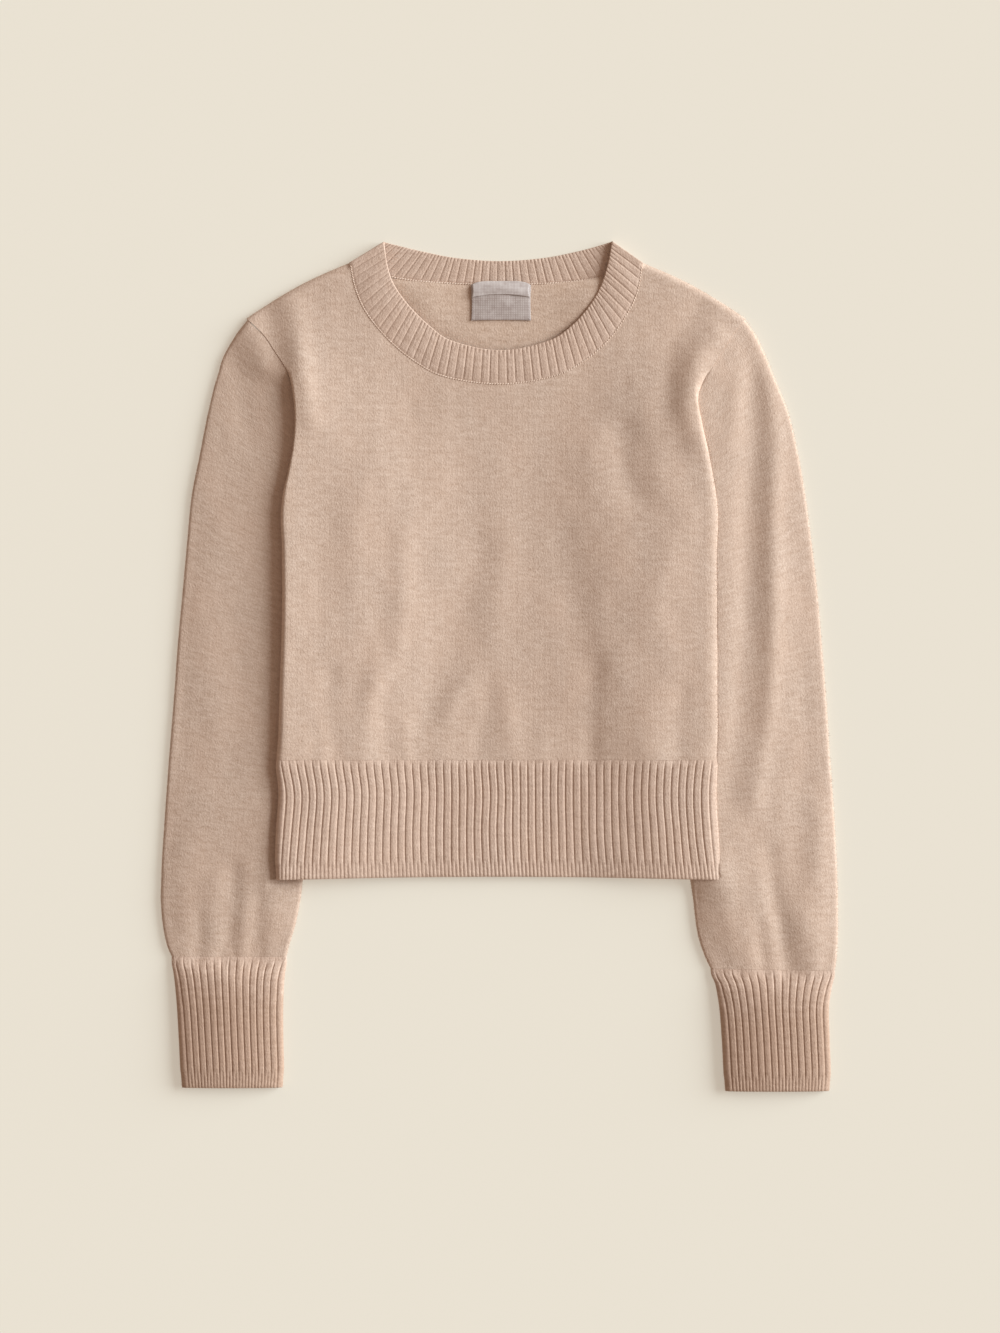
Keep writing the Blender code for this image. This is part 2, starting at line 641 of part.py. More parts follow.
def neck_stations(rows, count):
    """count + 1 pairs of points, evenly spaced: clear of the seam, and free edge."""
    seam = [Vector((n.seam_x, n.seam_y)) for n in rows]
    free = [Vector((n.free_x, n.free_y)) for n in rows]
    places = [(len(rows) - 1) * k / NECK_SAMPLES for k in range(NECK_SAMPLES + 1)]
    middle = [(spline(seam, p) + spline(free, p)) / 2 for p in places]
    length = [0.0]
    for a, b in zip(middle, middle[1:]):
        length.append(length[-1] + (b - a).length)
    stations = []
    index = 0
    for k in range(count + 1):
        target = length[-1] * k / count
        while index < NECK_SAMPLES - 1 and length[index + 1] < target:
            index += 1
        share = (target - length[index]) / (length[index + 1] - length[index])
        place = places[index] + (places[index + 1] - places[index]) * share
        stations.append((spline(seam, place), spline(free, place)))
    clear = []
    for k, (seam_point, free_point) in enumerate(stations):
        along = stations[min(k + 1, count)][0] - stations[max(k - 1, 0)][0]
        away = Vector((-along.y, along.x)).normalized() * CURVE_GAP
        if away.dot(free_point - seam_point) < 0:
            away.negate()
        clear.append((seam_point + away, free_point))
    return clear


def neckband():
    radius = BODY_LOFT / 2
    front = neck_stations(NECK_FRONT, 2 * NECK_FRONT_RIBS)
    back = neck_stations(NECK_BACK, 2 * NECK_BACK_RIBS)
    stations = []
    for half, following, face in ((front, back, 1), (back, front, -1)):
        for k, (seam, free) in enumerate(half[1:-1], start=1):
            stations.append((seam, free, face, math.pi / 2, float(k % 2), None))
        seam = (half[-1][0] + following[0][0]) / 2
        free = half[-1][1]
        along = (free - seam).normalized()
        out = Vector((-along.y, along.x)) if seam.x < 0 else Vector((along.y, -along.x))
        for angle in FOLD_TURNS:
            turn = math.radians(angle)
            near = half if angle > 0 else tuple(reversed(following))
            step = (near[-2][0] - near[-1][0]).length
            share = radius * (1 - math.cos(turn)) / step
            corner = seam if angle == 0 else near[-1][0].lerp(near[-2][0], share)
            stations.append((corner, free.lerp(near[-2][1], share), 0, turn * face, 0.0, out))
    outer = []
    inner = []
    for share, rib_share, thin in NECK_LEVELS:
        outer_row = []
        inner_row = []
        for seam, free, face, turn, rib, out in stations:
            flat = seam.lerp(free, share)
            if face:
                rise = neck_raise(0, NECK_SEAM_Y) * smoothstep((FOLD_Y - seam.y) / NECK_RISE)
                z = BODY_LOFT + rise - thin if face > 0 else thin
                normal = Vector((0, 0, face))
                outer_rib = RIB_HEIGHT * rib * rib_share if face > 0 else 0.0
                inner_rib = RIB_HEIGHT * rib * rib_share if face < 0 else 0.0
            else:
                z = radius * (1 + math.sin(turn))
                level_part = out * math.cos(turn)
                normal = Vector((level_part.x, level_part.y, math.sin(turn)))
                outer_rib = 0.0
                inner_rib = 0.0
            point = Vector((flat.x, flat.y, z))
            outer_row.append(point + normal * outer_rib)
            inner_row.append(point - normal * (RIB_WALL - 2 * thin + inner_rib))
        outer.append(outer_row)
        inner.append(inner_row)
    return cloth("neckband", outer, inner, RIB, closed=True)


def label(name, size, centre_y, base, curl):
    """A bare woven label that lies on the inside of the back."""
    width, height = size
    outer = []
    inner = []
    for row in range(LABEL_ROWS + 1):
        y = centre_y + height * (row / LABEL_ROWS - 0.5)
        lift = curl * (1 - row / LABEL_ROWS) ** 2
        outer_row = []
        inner_row = []
        for column in range(LABEL_COLUMNS + 1):
            x = LABEL_X + width * (column / LABEL_COLUMNS - 0.5)
            outer_row.append(Vector((x, y, base + LABEL_WALL + lift)))
            inner_row.append(Vector((x, y, base + lift)))
        outer.append(outer_row)
        inner.append(inner_row)
    return cloth(name, outer, inner, LABEL)


def build():
    for item in list(bpy.data.objects):
        bpy.data.objects.remove(item, do_unlink=True)
    collection = bpy.data.collections.new(COLLECTION)
    bpy.context.scene.collection.children.link(collection)
    panel("front_panel", NECK_FRONT, 1, FRONT_GRID, ROLL_ANGLES)
    back_neckline = tuple(reversed(NECK_BACK))
    panel("back_panel", back_neckline, -1, BACK_GRID, COARSE_ROLL)
    hem("front_hem_rib", 1, rib_spots(HEM_RIBS), ROLL_ANGLES, True)
    plain = [(k / BACK_HEM_COLUMNS, 0.0) for k in range(BACK_HEM_COLUMNS + 1)]
    hem("back_hem_rib", -1, plain, COARSE_ROLL, False)
    sleeve("sleeve_left", LEFT)
    sleeve("sleeve_right", RIGHT)
    cuff("cuff_left", LEFT)
    cuff("cuff_right", RIGHT)
    neckband()
    main_base = WALL + SEAM_GAP
    small_base = main_base + LABEL_WALL + SEAM_GAP
    label("label_main", MAIN_LABEL, MAIN_LABEL_Y, main_base, 0.0)
    label("label_small", SMALL_LABEL, SMALL_LABEL_Y, small_base, LABEL_CURL)


build()
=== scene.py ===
# Cropped crew-neck sweater in heathered oatmeal jersey, laid flat with its front up.
# Metres: +X across, +Y towards the collar, +Z up from the surface that it lies on.
import math
import bpy
import numpy as np
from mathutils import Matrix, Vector


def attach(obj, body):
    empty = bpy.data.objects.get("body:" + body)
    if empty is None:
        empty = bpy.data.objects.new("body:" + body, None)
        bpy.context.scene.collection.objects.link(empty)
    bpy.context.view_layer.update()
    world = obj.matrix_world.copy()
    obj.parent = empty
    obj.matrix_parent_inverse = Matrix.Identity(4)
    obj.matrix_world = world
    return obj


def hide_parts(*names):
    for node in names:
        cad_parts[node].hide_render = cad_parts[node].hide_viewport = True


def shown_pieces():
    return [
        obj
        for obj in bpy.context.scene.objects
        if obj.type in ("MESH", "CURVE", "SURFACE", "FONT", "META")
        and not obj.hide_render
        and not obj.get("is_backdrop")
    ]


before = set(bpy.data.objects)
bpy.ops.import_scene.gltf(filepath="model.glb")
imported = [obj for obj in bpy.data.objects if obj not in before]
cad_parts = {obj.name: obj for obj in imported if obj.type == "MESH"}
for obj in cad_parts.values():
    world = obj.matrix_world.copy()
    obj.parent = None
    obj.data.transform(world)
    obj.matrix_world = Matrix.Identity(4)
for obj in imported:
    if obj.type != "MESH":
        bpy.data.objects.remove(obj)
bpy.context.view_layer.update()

mm = 0.001
left, right = -1, 1
scene = bpy.context.scene

# Cloth, in metres: wall thicknesses, and how high two layers stand where they lie on each other.
# Margins and ramps say how far from an edge a change of height starts, and how far it reaches.
cloth = {
    "wall": 1.8 * mm,
    "ribWall": 2.0 * mm,
    "seamGap": 0.3 * mm,         # between the front and the back
    "bodyLoft": 6.8 * mm,
    "neckLoft": 7.6 * mm,
    "pressedLoft": 5.0 * mm,     # a sleeve where the body lies on it
    "cuffLoft": 5.8 * mm,
    "leastLoft": 3.9 * mm,
    "lift": 5.8 * mm,            # the body where a sleeve lies under it
    "liftMargin": 0.018,
    "liftRamp": 0.034,
    "frontMargin": 0.002,        # the front settles more gently than the back
    "frontRamp": 0.100,
    "coverMargin": {left: -0.002, right: -0.0052},    # a sleeve comes up this far beside the body
    "coverRamp": {left: 0.012, right: 0.004},
    "edgeLoft": 4.0 * mm,        # a sleeve beside its outer edge, and at the top of its low dome
    "domeLoft": {left: 5.7 * mm, right: 8.8 * mm},
    "domeWidth": 0.031,
    "cuffFade": 0.045,           # the dome gets lower this far above the cuff
    "lowRise": {left: 1.7 * mm, right: 0.0},         # it stands higher below the hem seam
    "innerFall": 0.016,
    "besideRise": {left: 0.0, right: 1.7 * mm},      # where it leans on the body's edge
    "besideWidth": 0.022,
    "armholeReach": 0.045,       # this far from the armhole a sleeve is at its own height
    "armholeStep": 0.4 * mm,     # the body's edge lies this much over the sleeve along the armhole
    "allowance": 0.9 * mm,       # and the lower piece reaches this far under a seam
    "sunk": 0.35 * mm,           # where its first row lies this much lower
}

# The neckline's circle, its folds, and how the cloth rises round it and inside it
neckCircle = {
    "centreY": 0.354,
    "seamRadius": 0.1285,
    "fade": 0.04,                # the body is back at its own height this far from the seam
    "foldY": 0.3232,
    "foldRise": 0.030,           # and the neck at its full height this far below the folds
    "puff": 2.3 * mm,            # inside the neck the back puffs up as far as this radius
    "puffRadius": 0.092,
    "puffFade": 0.020,
    "puffTop": 0.316,            # and not at all above this y
    "topFade": 0.016,
}

# Buckles of the back inside the neck: height, middle x and y, width along x and y
buckles = ((2.4 * mm, 0.078, 0.292, 0.026, 0.028), (1.2 * mm, -0.058, 0.290, 0.016, 0.018))

# Side edges of the body from the hem to the shoulder points: y, left x, right x
bodyEdges = np.array((
    (-0.1712, -0.1780, 0.1772), (-0.1552, -0.1788, 0.1762), (-0.1312, -0.1784, 0.1748),
    (-0.1000, -0.1764, 0.1732), (-0.0768, -0.1784, 0.1740), (-0.0592, -0.1772, 0.1747),
    (-0.0112, -0.1756, 0.1745), (0.0368, -0.1740, 0.1744), (0.0944, -0.1740, 0.1740),
    (0.1232, -0.1748, 0.1748), (0.1376, -0.1732, 0.1732), (0.1544, -0.1692, 0.1704),
    (0.1744, -0.1652, 0.1666), (0.1944, -0.1636, 0.1620), (0.2176, -0.1652, 0.1594),
    (0.2288, -0.1674, 0.1640), (0.2360, -0.1698, 0.1682), (0.2504, -0.1788, 0.1776),
    (0.2656, -0.1892, 0.1868), (0.2784, -0.2028, 0.1972)))

# Round the neckband: seam x, seam y, free edge x, free edge y; halves meet at the shoulders
neckFront = np.array((
    (-0.1196, 0.3232, -0.0924, 0.3400), (-0.1156, 0.3032, -0.0896, 0.3208),
    (-0.1068, 0.2832, -0.0844, 0.3056), (-0.0900, 0.2624, -0.0732, 0.2896),
    (-0.0692, 0.2448, -0.0572, 0.2736), (-0.0436, 0.2316, -0.0380, 0.2604),
    (0.0004, 0.2256, 0.0004, 0.2528), (0.0436, 0.2320, 0.0388, 0.2604),
    (0.0684, 0.2448, 0.0588, 0.2736), (0.0884, 0.2624, 0.0732, 0.2904),
    (0.1028, 0.2832, 0.0812, 0.3048), (0.1108, 0.3016, 0.0868, 0.3224),
    (0.1140, 0.3232, 0.0900, 0.3404)))
neckBack = np.array((
    (0.1140, 0.3232, 0.0900, 0.3404), (0.0964, 0.3160, 0.0788, 0.3368),
    (0.0724, 0.3100, 0.0604, 0.3320), (0.0404, 0.3068, 0.0348, 0.3272),
    (0.0004, 0.3056, 0.0004, 0.3248), (-0.0396, 0.3068, -0.0340, 0.3272),
    (-0.0756, 0.3100, -0.0596, 0.3320), (-0.1020, 0.3160, -0.0796, 0.3368),
    (-0.1196, 0.3232, -0.0924, 0.3400)))

# Sleeve sections from the armhole to the cuff seam: outer x, y, then the hidden inner x, y
sleeveSections = {
    left: np.array((
        (-0.2028, 0.2780, -0.1640, 0.2170), (-0.2122, 0.2640, -0.1550, 0.2020),
        (-0.2214, 0.2480, -0.1510, 0.1900), (-0.2254, 0.2350, -0.1460, 0.1760),
        (-0.2290, 0.2230, -0.1400, 0.1620), (-0.2350, 0.1970, -0.1220, 0.1400),
        (-0.2404, 0.1690, -0.1156, 0.1168), (-0.2468, 0.1368, -0.1172, 0.0888),
        (-0.2504, 0.1008, -0.1212, 0.0568), (-0.2540, 0.0608, -0.1268, 0.0208),
        (-0.2580, 0.0168, -0.1332, -0.0152), (-0.2612, -0.0272, -0.1396, -0.0512),
        (-0.2648, -0.0712, -0.1460, -0.0872), (-0.2680, -0.1152, -0.1516, -0.1248),
        (-0.2706, -0.1540, -0.1556, -0.1580), (-0.2712, -0.1712, -0.1578, -0.1732),
        (-0.2716, -0.1872, -0.1596, -0.1872), (-0.2700, -0.2072, -0.1636, -0.2072),
        (-0.2668, -0.2232, -0.1684, -0.2232), (-0.2628, -0.2328, -0.1708, -0.2328))),
    right: np.array((
        (0.1972, 0.2780, 0.1580, 0.2130), (0.2060, 0.2640, 0.1500, 0.1990),
        (0.2140, 0.2470, 0.1480, 0.1890), (0.2184, 0.2360, 0.1440, 0.1750),
        (0.2224, 0.2260, 0.1400, 0.1620), (0.2316, 0.2030, 0.1212, 0.1392),
        (0.2388, 0.1728, 0.1140, 0.1152), (0.2452, 0.1368, 0.1132, 0.0872),
        (0.2504, 0.0968, 0.1164, 0.0552), (0.2548, 0.0592, 0.1204, 0.0192),
        (0.2584, 0.0168, 0.1260, -0.0168), (0.2620, -0.0272, 0.1316, -0.0528),
        (0.2648, -0.0712, 0.1376, -0.0888), (0.2680, -0.1152, 0.1436, -0.1256),
        (0.2702, -0.1540, 0.1496, -0.1580), (0.2708, -0.1712, 0.1530, -0.1732),
        (0.2712, -0.1872, 0.1552, -0.1872), (0.2712, -0.2152, 0.1584, -0.2128),
        (0.2704, -0.2328, 0.1640, -0.2312), (0.2688, -0.2440, 0.1692, -0.2424))),
}
hiddenFrom = 1               # inner edges from here on lie under the body

# Cuffs from the seam down: y, left x, right x
cuffEdges = {
    left: np.array(((-0.2332, -0.2628, -0.1708), (-0.2512, -0.2600, -0.1730),
                    (-0.2672, -0.2584, -0.1738), (-0.2992, -0.2564, -0.1738),
                    (-0.3264, -0.2550, -0.1734), (-0.3376, -0.2542, -0.1740))),
    right: np.array(((-0.2444, 0.1694, 0.2688), (-0.2552, 0.1732, 0.2662),
                     (-0.2672, 0.1756, 0.2640), (-0.2992, 0.1786, 0.2640),
                     (-0.3288, 0.1802, 0.2648), (-0.3404, 0.1810, 0.2642))),
}

# Creases: path points in mm, height in mm (troughs below 0), half width in mm
bodyCreases = (
    # round the armholes
    (((158, 286), (146, 270), (138, 254), (134, 236), (133, 214), (135, 200)), -1.0, 10),
    (((173, 262), (161, 250), (155, 234), (152, 214), (153, 198), (158, 182)), 3.5, 12),
    (((-187, 286), (-184, 268), (-180, 248), (-177, 230)), -2.0, 10),
    (((-164, 284), (-161, 262), (-157, 232), (-152, 196)), 2.2, 10),
    # the body's left side stands up beside its sleeve
    (((-176, 214), (-175, 180), (-176, 130), (-178, 60), (-179, -20), (-176, -62)), 3.2, 26),
    (((-171, -90), (-171, -160)), 0.3, 9),
    # a hollow below the right armhole
    (((99, 186), (100, 170), (103, 152), (109, 134)), -2.1, 14),
    (((128, 168), (131, 156), (138, 140)), 0.6, 14),
    # long soft folds down the front
    (((52, 100), (60, 62), (65, 36), (67, 12), (71, -12), (70, -36), (68, -62)), -1.4, 17),
    (((4, 108), (0, 76), (-4, 40), (-5, 8)), 1.0, 13),
    (((146, 118), (133, 88), (127, 62), (124, 36), (130, 12), (127, -12), (120, -36), (117, -66)), 1.3, 15),
    (((-14, 94), (-26, 60), (-38, 36), (-43, 12), (-52, -12), (-63, -40)), -0.9, 13),
    (((-112, 134), (-117, 102), (-117, 68)), 0.9, 14),
    (((-76, 104), (-77, 60), (-80, 30), (-85, 4), (-97, -12)), 1.1, 10),
    # short ones where the hem draws the cloth in
    (((-135, -6), (-136, -36), (-131, -73)), -0.9, 8),
    (((-98, -2), (-105, -34), (-108, -72)), 1.0, 8),
    (((-90, -46), (-90, -74)), -0.6, 6),
    (((-75, -48), (-74, -74)), 0.5, 5),
    (((-22, -6), (-40, -34), (-45, -72)), 1.0, 9),
    (((-9, -20), (-17, -73)), -0.7, 8),
    (((4, -22), (7, -44), (11, -73)), 0.9, 8),
    (((75, 2), (75, -40), (74, -73)), -1.0, 9),
    (((146, -22), (143, -44), (144, -74)), -0.8, 8),
    (((-151, -48), (-147, -60), (-151, -75)), -0.5, 5),
    (((34, -52), (33, -74)), 0.4, 6),
)
sleeveCreases = {
    left: (
        (((-250, 110), (-252, 40), (-254, -40), (-254, -130)), -0.4, 9),
        (((-232, 190), (-234, 120), (-232, 40), (-230, -60)), 0.3, 10),
        (((-212, -164), (-214, -192), (-218, -238)), -1.2, 8),
        (((-240, -200), (-241, -238)), -0.5, 6),
        (((-194, -188), (-196, -238)), -0.7, 7),
        (((-252, -150), (-252, -200), (-252, -238)), 0.6, 9),
        (((-230, -176), (-229, -206), (-231, -238)), 0.6, 9),
        (((-203, -160), (-203, -200), (-208, -238)), 0.7, 8),
        (((-183, -176), (-182, -210), (-186, -238)), 0.5, 8),
        (((-262, -60), (-264, -110), (-262, -150)), -0.3, 6),
        (((-214, 60), (-208, 0), (-214, -70)), -0.3, 10),
        (((-212, 250), (-208, 224), (-204, 190)), -0.5, 9),
    ),
    right: (
        (((188, 276), (197, 250), (202, 220), (203, 180), (200, 140),
          (198, 100), (198, 60), (197, 30), (192, -40), (182, -104)), -1.6, 10),
        (((200, 268), (213, 236), (219, 206), (220, 150),
          (219, 90), (219, 30), (215, -40), (203, -108)), 2.1, 9),
        (((200, 256), (191, 224), (187, 197), (184, 174)), 0.9, 8),
        (((240, 100), (242, 50), (244, -30), (246, -90)), -0.5, 8),
        (((216, -150), (223, -196), (232, -244)), -1.7, 8),
        (((207, -206), (212, -246)), -0.5, 6),
        (((190, -206), (194, -246)), -0.4, 6),
        (((218, -208), (221, -246)), 0.4, 6),
        (((244, -176), (245, -210), (247, -246)), 0.9, 9),
        (((172, -166), (184, -200), (198, -240)), 1.6, 13),
        (((258, -120), (257, -160), (256, -200), (255, -238)), 1.3, 10),
        (((240, -96), (238, -140), (236, -170)), -0.8, 11),
        (((262, -20), (264, -80)), 0.4, 7),
    ),
}


def smooth(value):
    # 0 below 0, 1 above 1, and an even rise between
    value = np.clip(value, 0.0, 1.0)
    return value * value * (3 - 2 * value)


def curveAt(points, position):
    # smooth curve through the points; position counts them from 0
    points = np.asarray(points, float)
    position = np.asarray(position, float)
    last = len(points) - 1
    index = np.clip(position.astype(int), 0, last - 1)
    t = (position - index)[..., None]
    before, start = points[np.maximum(index - 1, 0)], points[index]
    end, after = points[index + 1], points[np.minimum(index + 2, last)]
    leave, arrive = (end - before) / 2, (after - start) / 2
    return (start * (2 * t**3 - 3 * t**2 + 1) + leave * (t**3 - 2 * t**2 + t)
            + end * (3 * t**2 - 2 * t**3) + arrive * (t**3 - t**2))


def tableAt(table, column, y):
    # a column of an edge table at height y, rounded between its rows
    order = np.argsort(table[:, 0])
    ys, values = table[order, 0], table[order, column]
    slopes = np.gradient(values, ys)
    y = np.clip(y, ys[0], ys[-1])
    index = np.clip(np.searchsorted(ys, y) - 1, 0, len(ys) - 2)
    step = ys[index + 1] - ys[index]
    t = (y - ys[index]) / step
    return (values[index] * (2 * t**3 - 3 * t**2 + 1) + slopes[index] * step * (t**3 - 2 * t**2 + t)
            + values[index + 1] * (3 * t**2 - 2 * t**3) + slopes[index + 1] * step * (t**3 - t**2))


def bodyEdge(side, y):
    return tableAt(bodyEdges, 1 if side == left else 2, y)


def lineDistance(x, y, path):
    # distance to a path of straight stretches, and how far along it the nearest point is (0 to 1)
    nearest = np.full(np.shape(x), 1e9)
    place = np.zeros(np.shape(x))
    spans = np.hypot(*(np.diff(np.asarray(path, float), axis=0).T))
    done = 0.0
    for (x0, y0), (x1, y1), span in zip(path, path[1:], spans):
        share = np.clip(((x - x0) * (x1 - x0) + (y - y0) * (y1 - y0)) / span**2, 0, 1)
        away = np.hypot(x - x0 - share * (x1 - x0), y - y0 - share * (y1 - y0))
        closer = away < nearest
        nearest = np.where(closer, away, nearest)
        place = np.where(closer, (done + share * span) / spans.sum(), place)
        done += span
    return nearest, place


def creaseHeight(creases, x, y):
    total = np.zeros(np.shape(x))
    for path, height, width in creases:
        fine = curveAt(path, np.linspace(0, len(path) - 1, 3 * len(path))) * mm
        away, place = lineDistance(x, y, fine)
        # a crease swells and sinks a little on its way
        swell = 0.82 + 0.18 * np.sin(7.0 * place + height * 5)
        total += height * mm * swell * np.exp(-(away / (width * mm)) ** 2)
    return total


def softNoise(x, y, cell, seed):
    # smooth random heights from -1 to 1, one for each corner of a square cell
    lattice = np.random.RandomState(seed).rand(128, 128) * 2 - 1
    px, py = x / cell + 50, y / cell + 50
    ix, iy = np.floor(px).astype(int), np.floor(py).astype(int)
    fx, fy = smooth(px - ix), smooth(py - iy)
    ix, iy = ix % 127, iy % 127
    low = lattice[iy, ix] * (1 - fx) + lattice[iy, ix + 1] * fx
    high = lattice[iy + 1, ix] * (1 - fx) + lattice[iy + 1, ix + 1] * fx
    return low * (1 - fy) + high * fy


def bodyLift(x, y, spread=("liftMargin", "liftRamp")):
    # how far a sleeve under the body holds it up
    margin, ramp = (cloth[word] for word in spread)
    total = np.zeros(np.shape(x))
    for side in (left, right):
        edge = sleeveSections[side][hiddenFrom:, 2:4]
        away = lineDistance(x, y, edge)[0]
        boundary = np.interp(y, edge[::-1, 1], edge[::-1, 0])
        covered = (y <= edge[0, 1]) & (y >= edge[-1, 1]) & ((x - boundary) * side > 0)
        away = np.where(covered, 0.0, away)
        raised = cloth["lift"] * (1 - smooth((away - margin) / ramp))
        total = np.where(x * side > 0, raised, total)
    return total


def bodyTop(x, y):
    away = np.hypot(x, y - neckCircle["centreY"]) - neckCircle["seamRadius"]
    rise = (cloth["neckLoft"] - cloth["bodyLoft"]) * (1 - smooth(away / neckCircle["fade"]))
    loft = cloth["bodyLoft"] + rise * smooth((neckCircle["foldY"] - y) / neckCircle["foldRise"])
    loft = loft + creaseHeight(bodyCreases, x, y)
    loft = loft + 0.35 * mm * softNoise(x, y * 0.6, 0.024, 3) + 0.12 * mm * softNoise(x, y * 0.7, 0.009, 4)
    return bodyLift(x, y, ("frontMargin", "frontRamp")) + np.maximum(loft, cloth["leastLoft"])


def neckRise(x, y):
    # inside the neck the back puffs up behind the neckband's edge
    away = np.hypot(x, y - neckCircle["centreY"]) - neckCircle["puffRadius"]
    inside = 1 - smooth(away / neckCircle["puffFade"])
    return neckCircle["puff"] * inside * smooth((neckCircle["puffTop"] - y) / neckCircle["topFade"])


def sewnShare(y):
    # 0 where the body's side is rolled, 1 where it is sewn to the sleeve
    return smooth((y - panel["rollY"]) / (panel["buttY"] - panel["rollY"]))


def sleeveTop(side, x, y):
    beside = (x - bodyEdge(side, np.minimum(y, bodyEdges[-1, 0]))) * side
    below = bodyEdges[0, 0] - y
    table = sleeveSections[side]
    margin, ramp = cloth["coverMargin"][side], cloth["coverRamp"][side]
    free = smooth((np.maximum(beside, below) - margin) / ramp)
    uneven = 0.3 * mm * softNoise(x, y * 0.6, 0.022, 7 + side)
    uneven = uneven + 0.12 * mm * softNoise(x, y, 0.009, 9 + side)
    # the visible part is a long low dome that falls to the sleeve's outer edge and to the cuff
    inward = np.clip((np.interp(y, table[::-1, 1], table[::-1, 0]) - x) * side, 0, None)
    dome = 1 - np.exp(-inward / cloth["domeWidth"])
    toCuff = smooth((y - table[-1, 1]) / cloth["cuffFade"])
    domeRise = cloth["domeLoft"][side] - cloth["edgeLoft"]
    crown = cloth["edgeLoft"] + domeRise * dome * (0.30 + 0.70 * toCuff)
    leaning = cloth["besideRise"][side] * np.exp(-(np.maximum(beside, 0) / cloth["besideWidth"]) ** 2)
    crown = crown + leaning * smooth(1 - below / 0.03)
    crown = crown + cloth["lowRise"][side] * dome * smooth((-0.07 - y) / 0.05) * toCuff
    # below the body its other side falls to the surface as well
    fromInner = np.clip((x - np.interp(y, table[::-1, 3], table[::-1, 2])) * side, 0, None)
    fall = smooth((below + 0.012) / 0.024) * np.exp(-fromInner / cloth["innerFall"])
    crown = crown + (cloth["leastLoft"] - crown) * fall
    creased = crown - cloth["pressedLoft"] + creaseHeight(sleeveCreases[side], x, y) + uneven
    loft = cloth["pressedLoft"] + creased * free
    # along the armhole it starts level with the body
    joined = (1 - smooth(beside / cloth["armholeReach"])) * smooth(1 + beside / 0.003) * sewnShare(y)
    step = cloth["armholeStep"] * (1 - 0.6 * smooth(beside / 0.010))
    loft = loft + (bodyTop(x, y) - step - loft) * joined
    return np.maximum(loft, cloth["leastLoft"])


def gridNormals(points, closed=False):
    along = np.gradient(points, axis=0)
    if closed:
        across = np.roll(points, -1, axis=1) - np.roll(points, 1, axis=1)
    else:
        across = np.gradient(points, axis=1)
    normals = np.cross(across, along)
    return normals / np.maximum(np.linalg.norm(normals, axis=-1, keepdims=True), 1e-12)


def makeShell(name, outer, inner, uv, closed=False, facts=None, sharpRows=(0,)):
    # A closed wall between two grids of points. uv has one more column when the grid closes.
    rows, columns = outer.shape[:2]
    count = rows * columns
    index = np.arange(count).reshape(rows, columns)
    if closed:
        index = np.concatenate([index, index[:, :1]], axis=1)
    uvIndex = np.arange(uv.shape[0] * uv.shape[1]).reshape(uv.shape[:2])

    def quads(grid):
        return (grid[:-1, :-1], grid[:-1, 1:], grid[1:, 1:], grid[1:, :-1])

    def gather(grid, offset):
        a, b, c, d = (q.reshape(-1) for q in quads(grid))
        parts = [np.stack([a, b, c, d], 1), np.stack([d, c, b, a], 1) + offset]
        for first, second in ((grid[0, 1:], grid[0, :-1]), (grid[-1, :-1], grid[-1, 1:])):
            parts.append(np.stack([first, second, second + offset, first + offset], 1))
        if not closed:
            for first, second in ((grid[:-1, 0], grid[1:, 0]), (grid[1:, -1], grid[:-1, -1])):
                parts.append(np.stack([first, second, second + offset, first + offset], 1))
        return np.concatenate(parts)

    faces, corners = gather(index, count), gather(uvIndex, 0)
    points = np.concatenate([outer.reshape(-1, 3), inner.reshape(-1, 3)])
    p = points[faces]
    volume = np.einsum("ij,ij->", p[:, 0], np.cross(p[:, 1], p[:, 2]) + np.cross(p[:, 2], p[:, 3]))
    if volume < 0:
        faces, corners = faces[:, ::-1], corners[:, ::-1]
    mesh = bpy.data.meshes.new(name)
    mesh.from_pydata(points, [], faces.tolist())
    mesh.polygons.foreach_set("use_smooth", np.ones(len(faces), bool))
    layer = mesh.uv_layers.new(name="clothMap")
    layer.data.foreach_set("uv", uv.reshape(-1, 2)[corners.reshape(-1)].reshape(-1).astype(np.float32))
    for key, values in (facts or {}).items():
        both = np.concatenate([np.asarray(v, np.float32).reshape(count, -1) for v in values])
        kind = "FLOAT_VECTOR" if both.shape[1] == 3 else "FLOAT"
        attribute = mesh.attributes.new(key, kind, "POINT")
        attribute.data.foreach_set("vector" if kind == "FLOAT_VECTOR" else "value", both.reshape(-1))
    # rims are sharp, so that the cloth's face shades evenly up to a seam
    rim = np.zeros((rows, columns), bool)
    rim[list(sharpRows)] = True
    if not closed:
        rim[:, [0, -1]] = True
    rim = np.concatenate([rim.reshape(-1), rim.reshape(-1)])
    ends = np.empty(len(mesh.edges) * 2, int)
    mesh.edges.foreach_get("vertices", ends)
    ends = ends.reshape(-1, 2)
    sharp = mesh.attributes.new("sharp_edge", "BOOLEAN", "EDGE")
    sharp.data.foreach_set("value", rim[ends].all(axis=1))
    mesh.update()
    piece = bpy.data.objects.new(name, mesh)
    scene.collection.objects.link(piece)
    return piece


def shoulderLine(side, share):
    neck = neckFront[0] if side == left else neckFront[-1]
    tip = np.array((bodyEdge(side, bodyEdges[-1, 0]), bodyEdges[-1, 0]))
    line = neck[:2] + (tip - neck[:2]) * share[..., None]
    line[..., 1] += 3.5 * mm * np.sin(math.pi * share)
    return line


def smoothEnds(share):
    # more columns near both ends, where the neckline turns into the shoulders
    return share - 0.06 * np.sin(2 * math.pi * share)


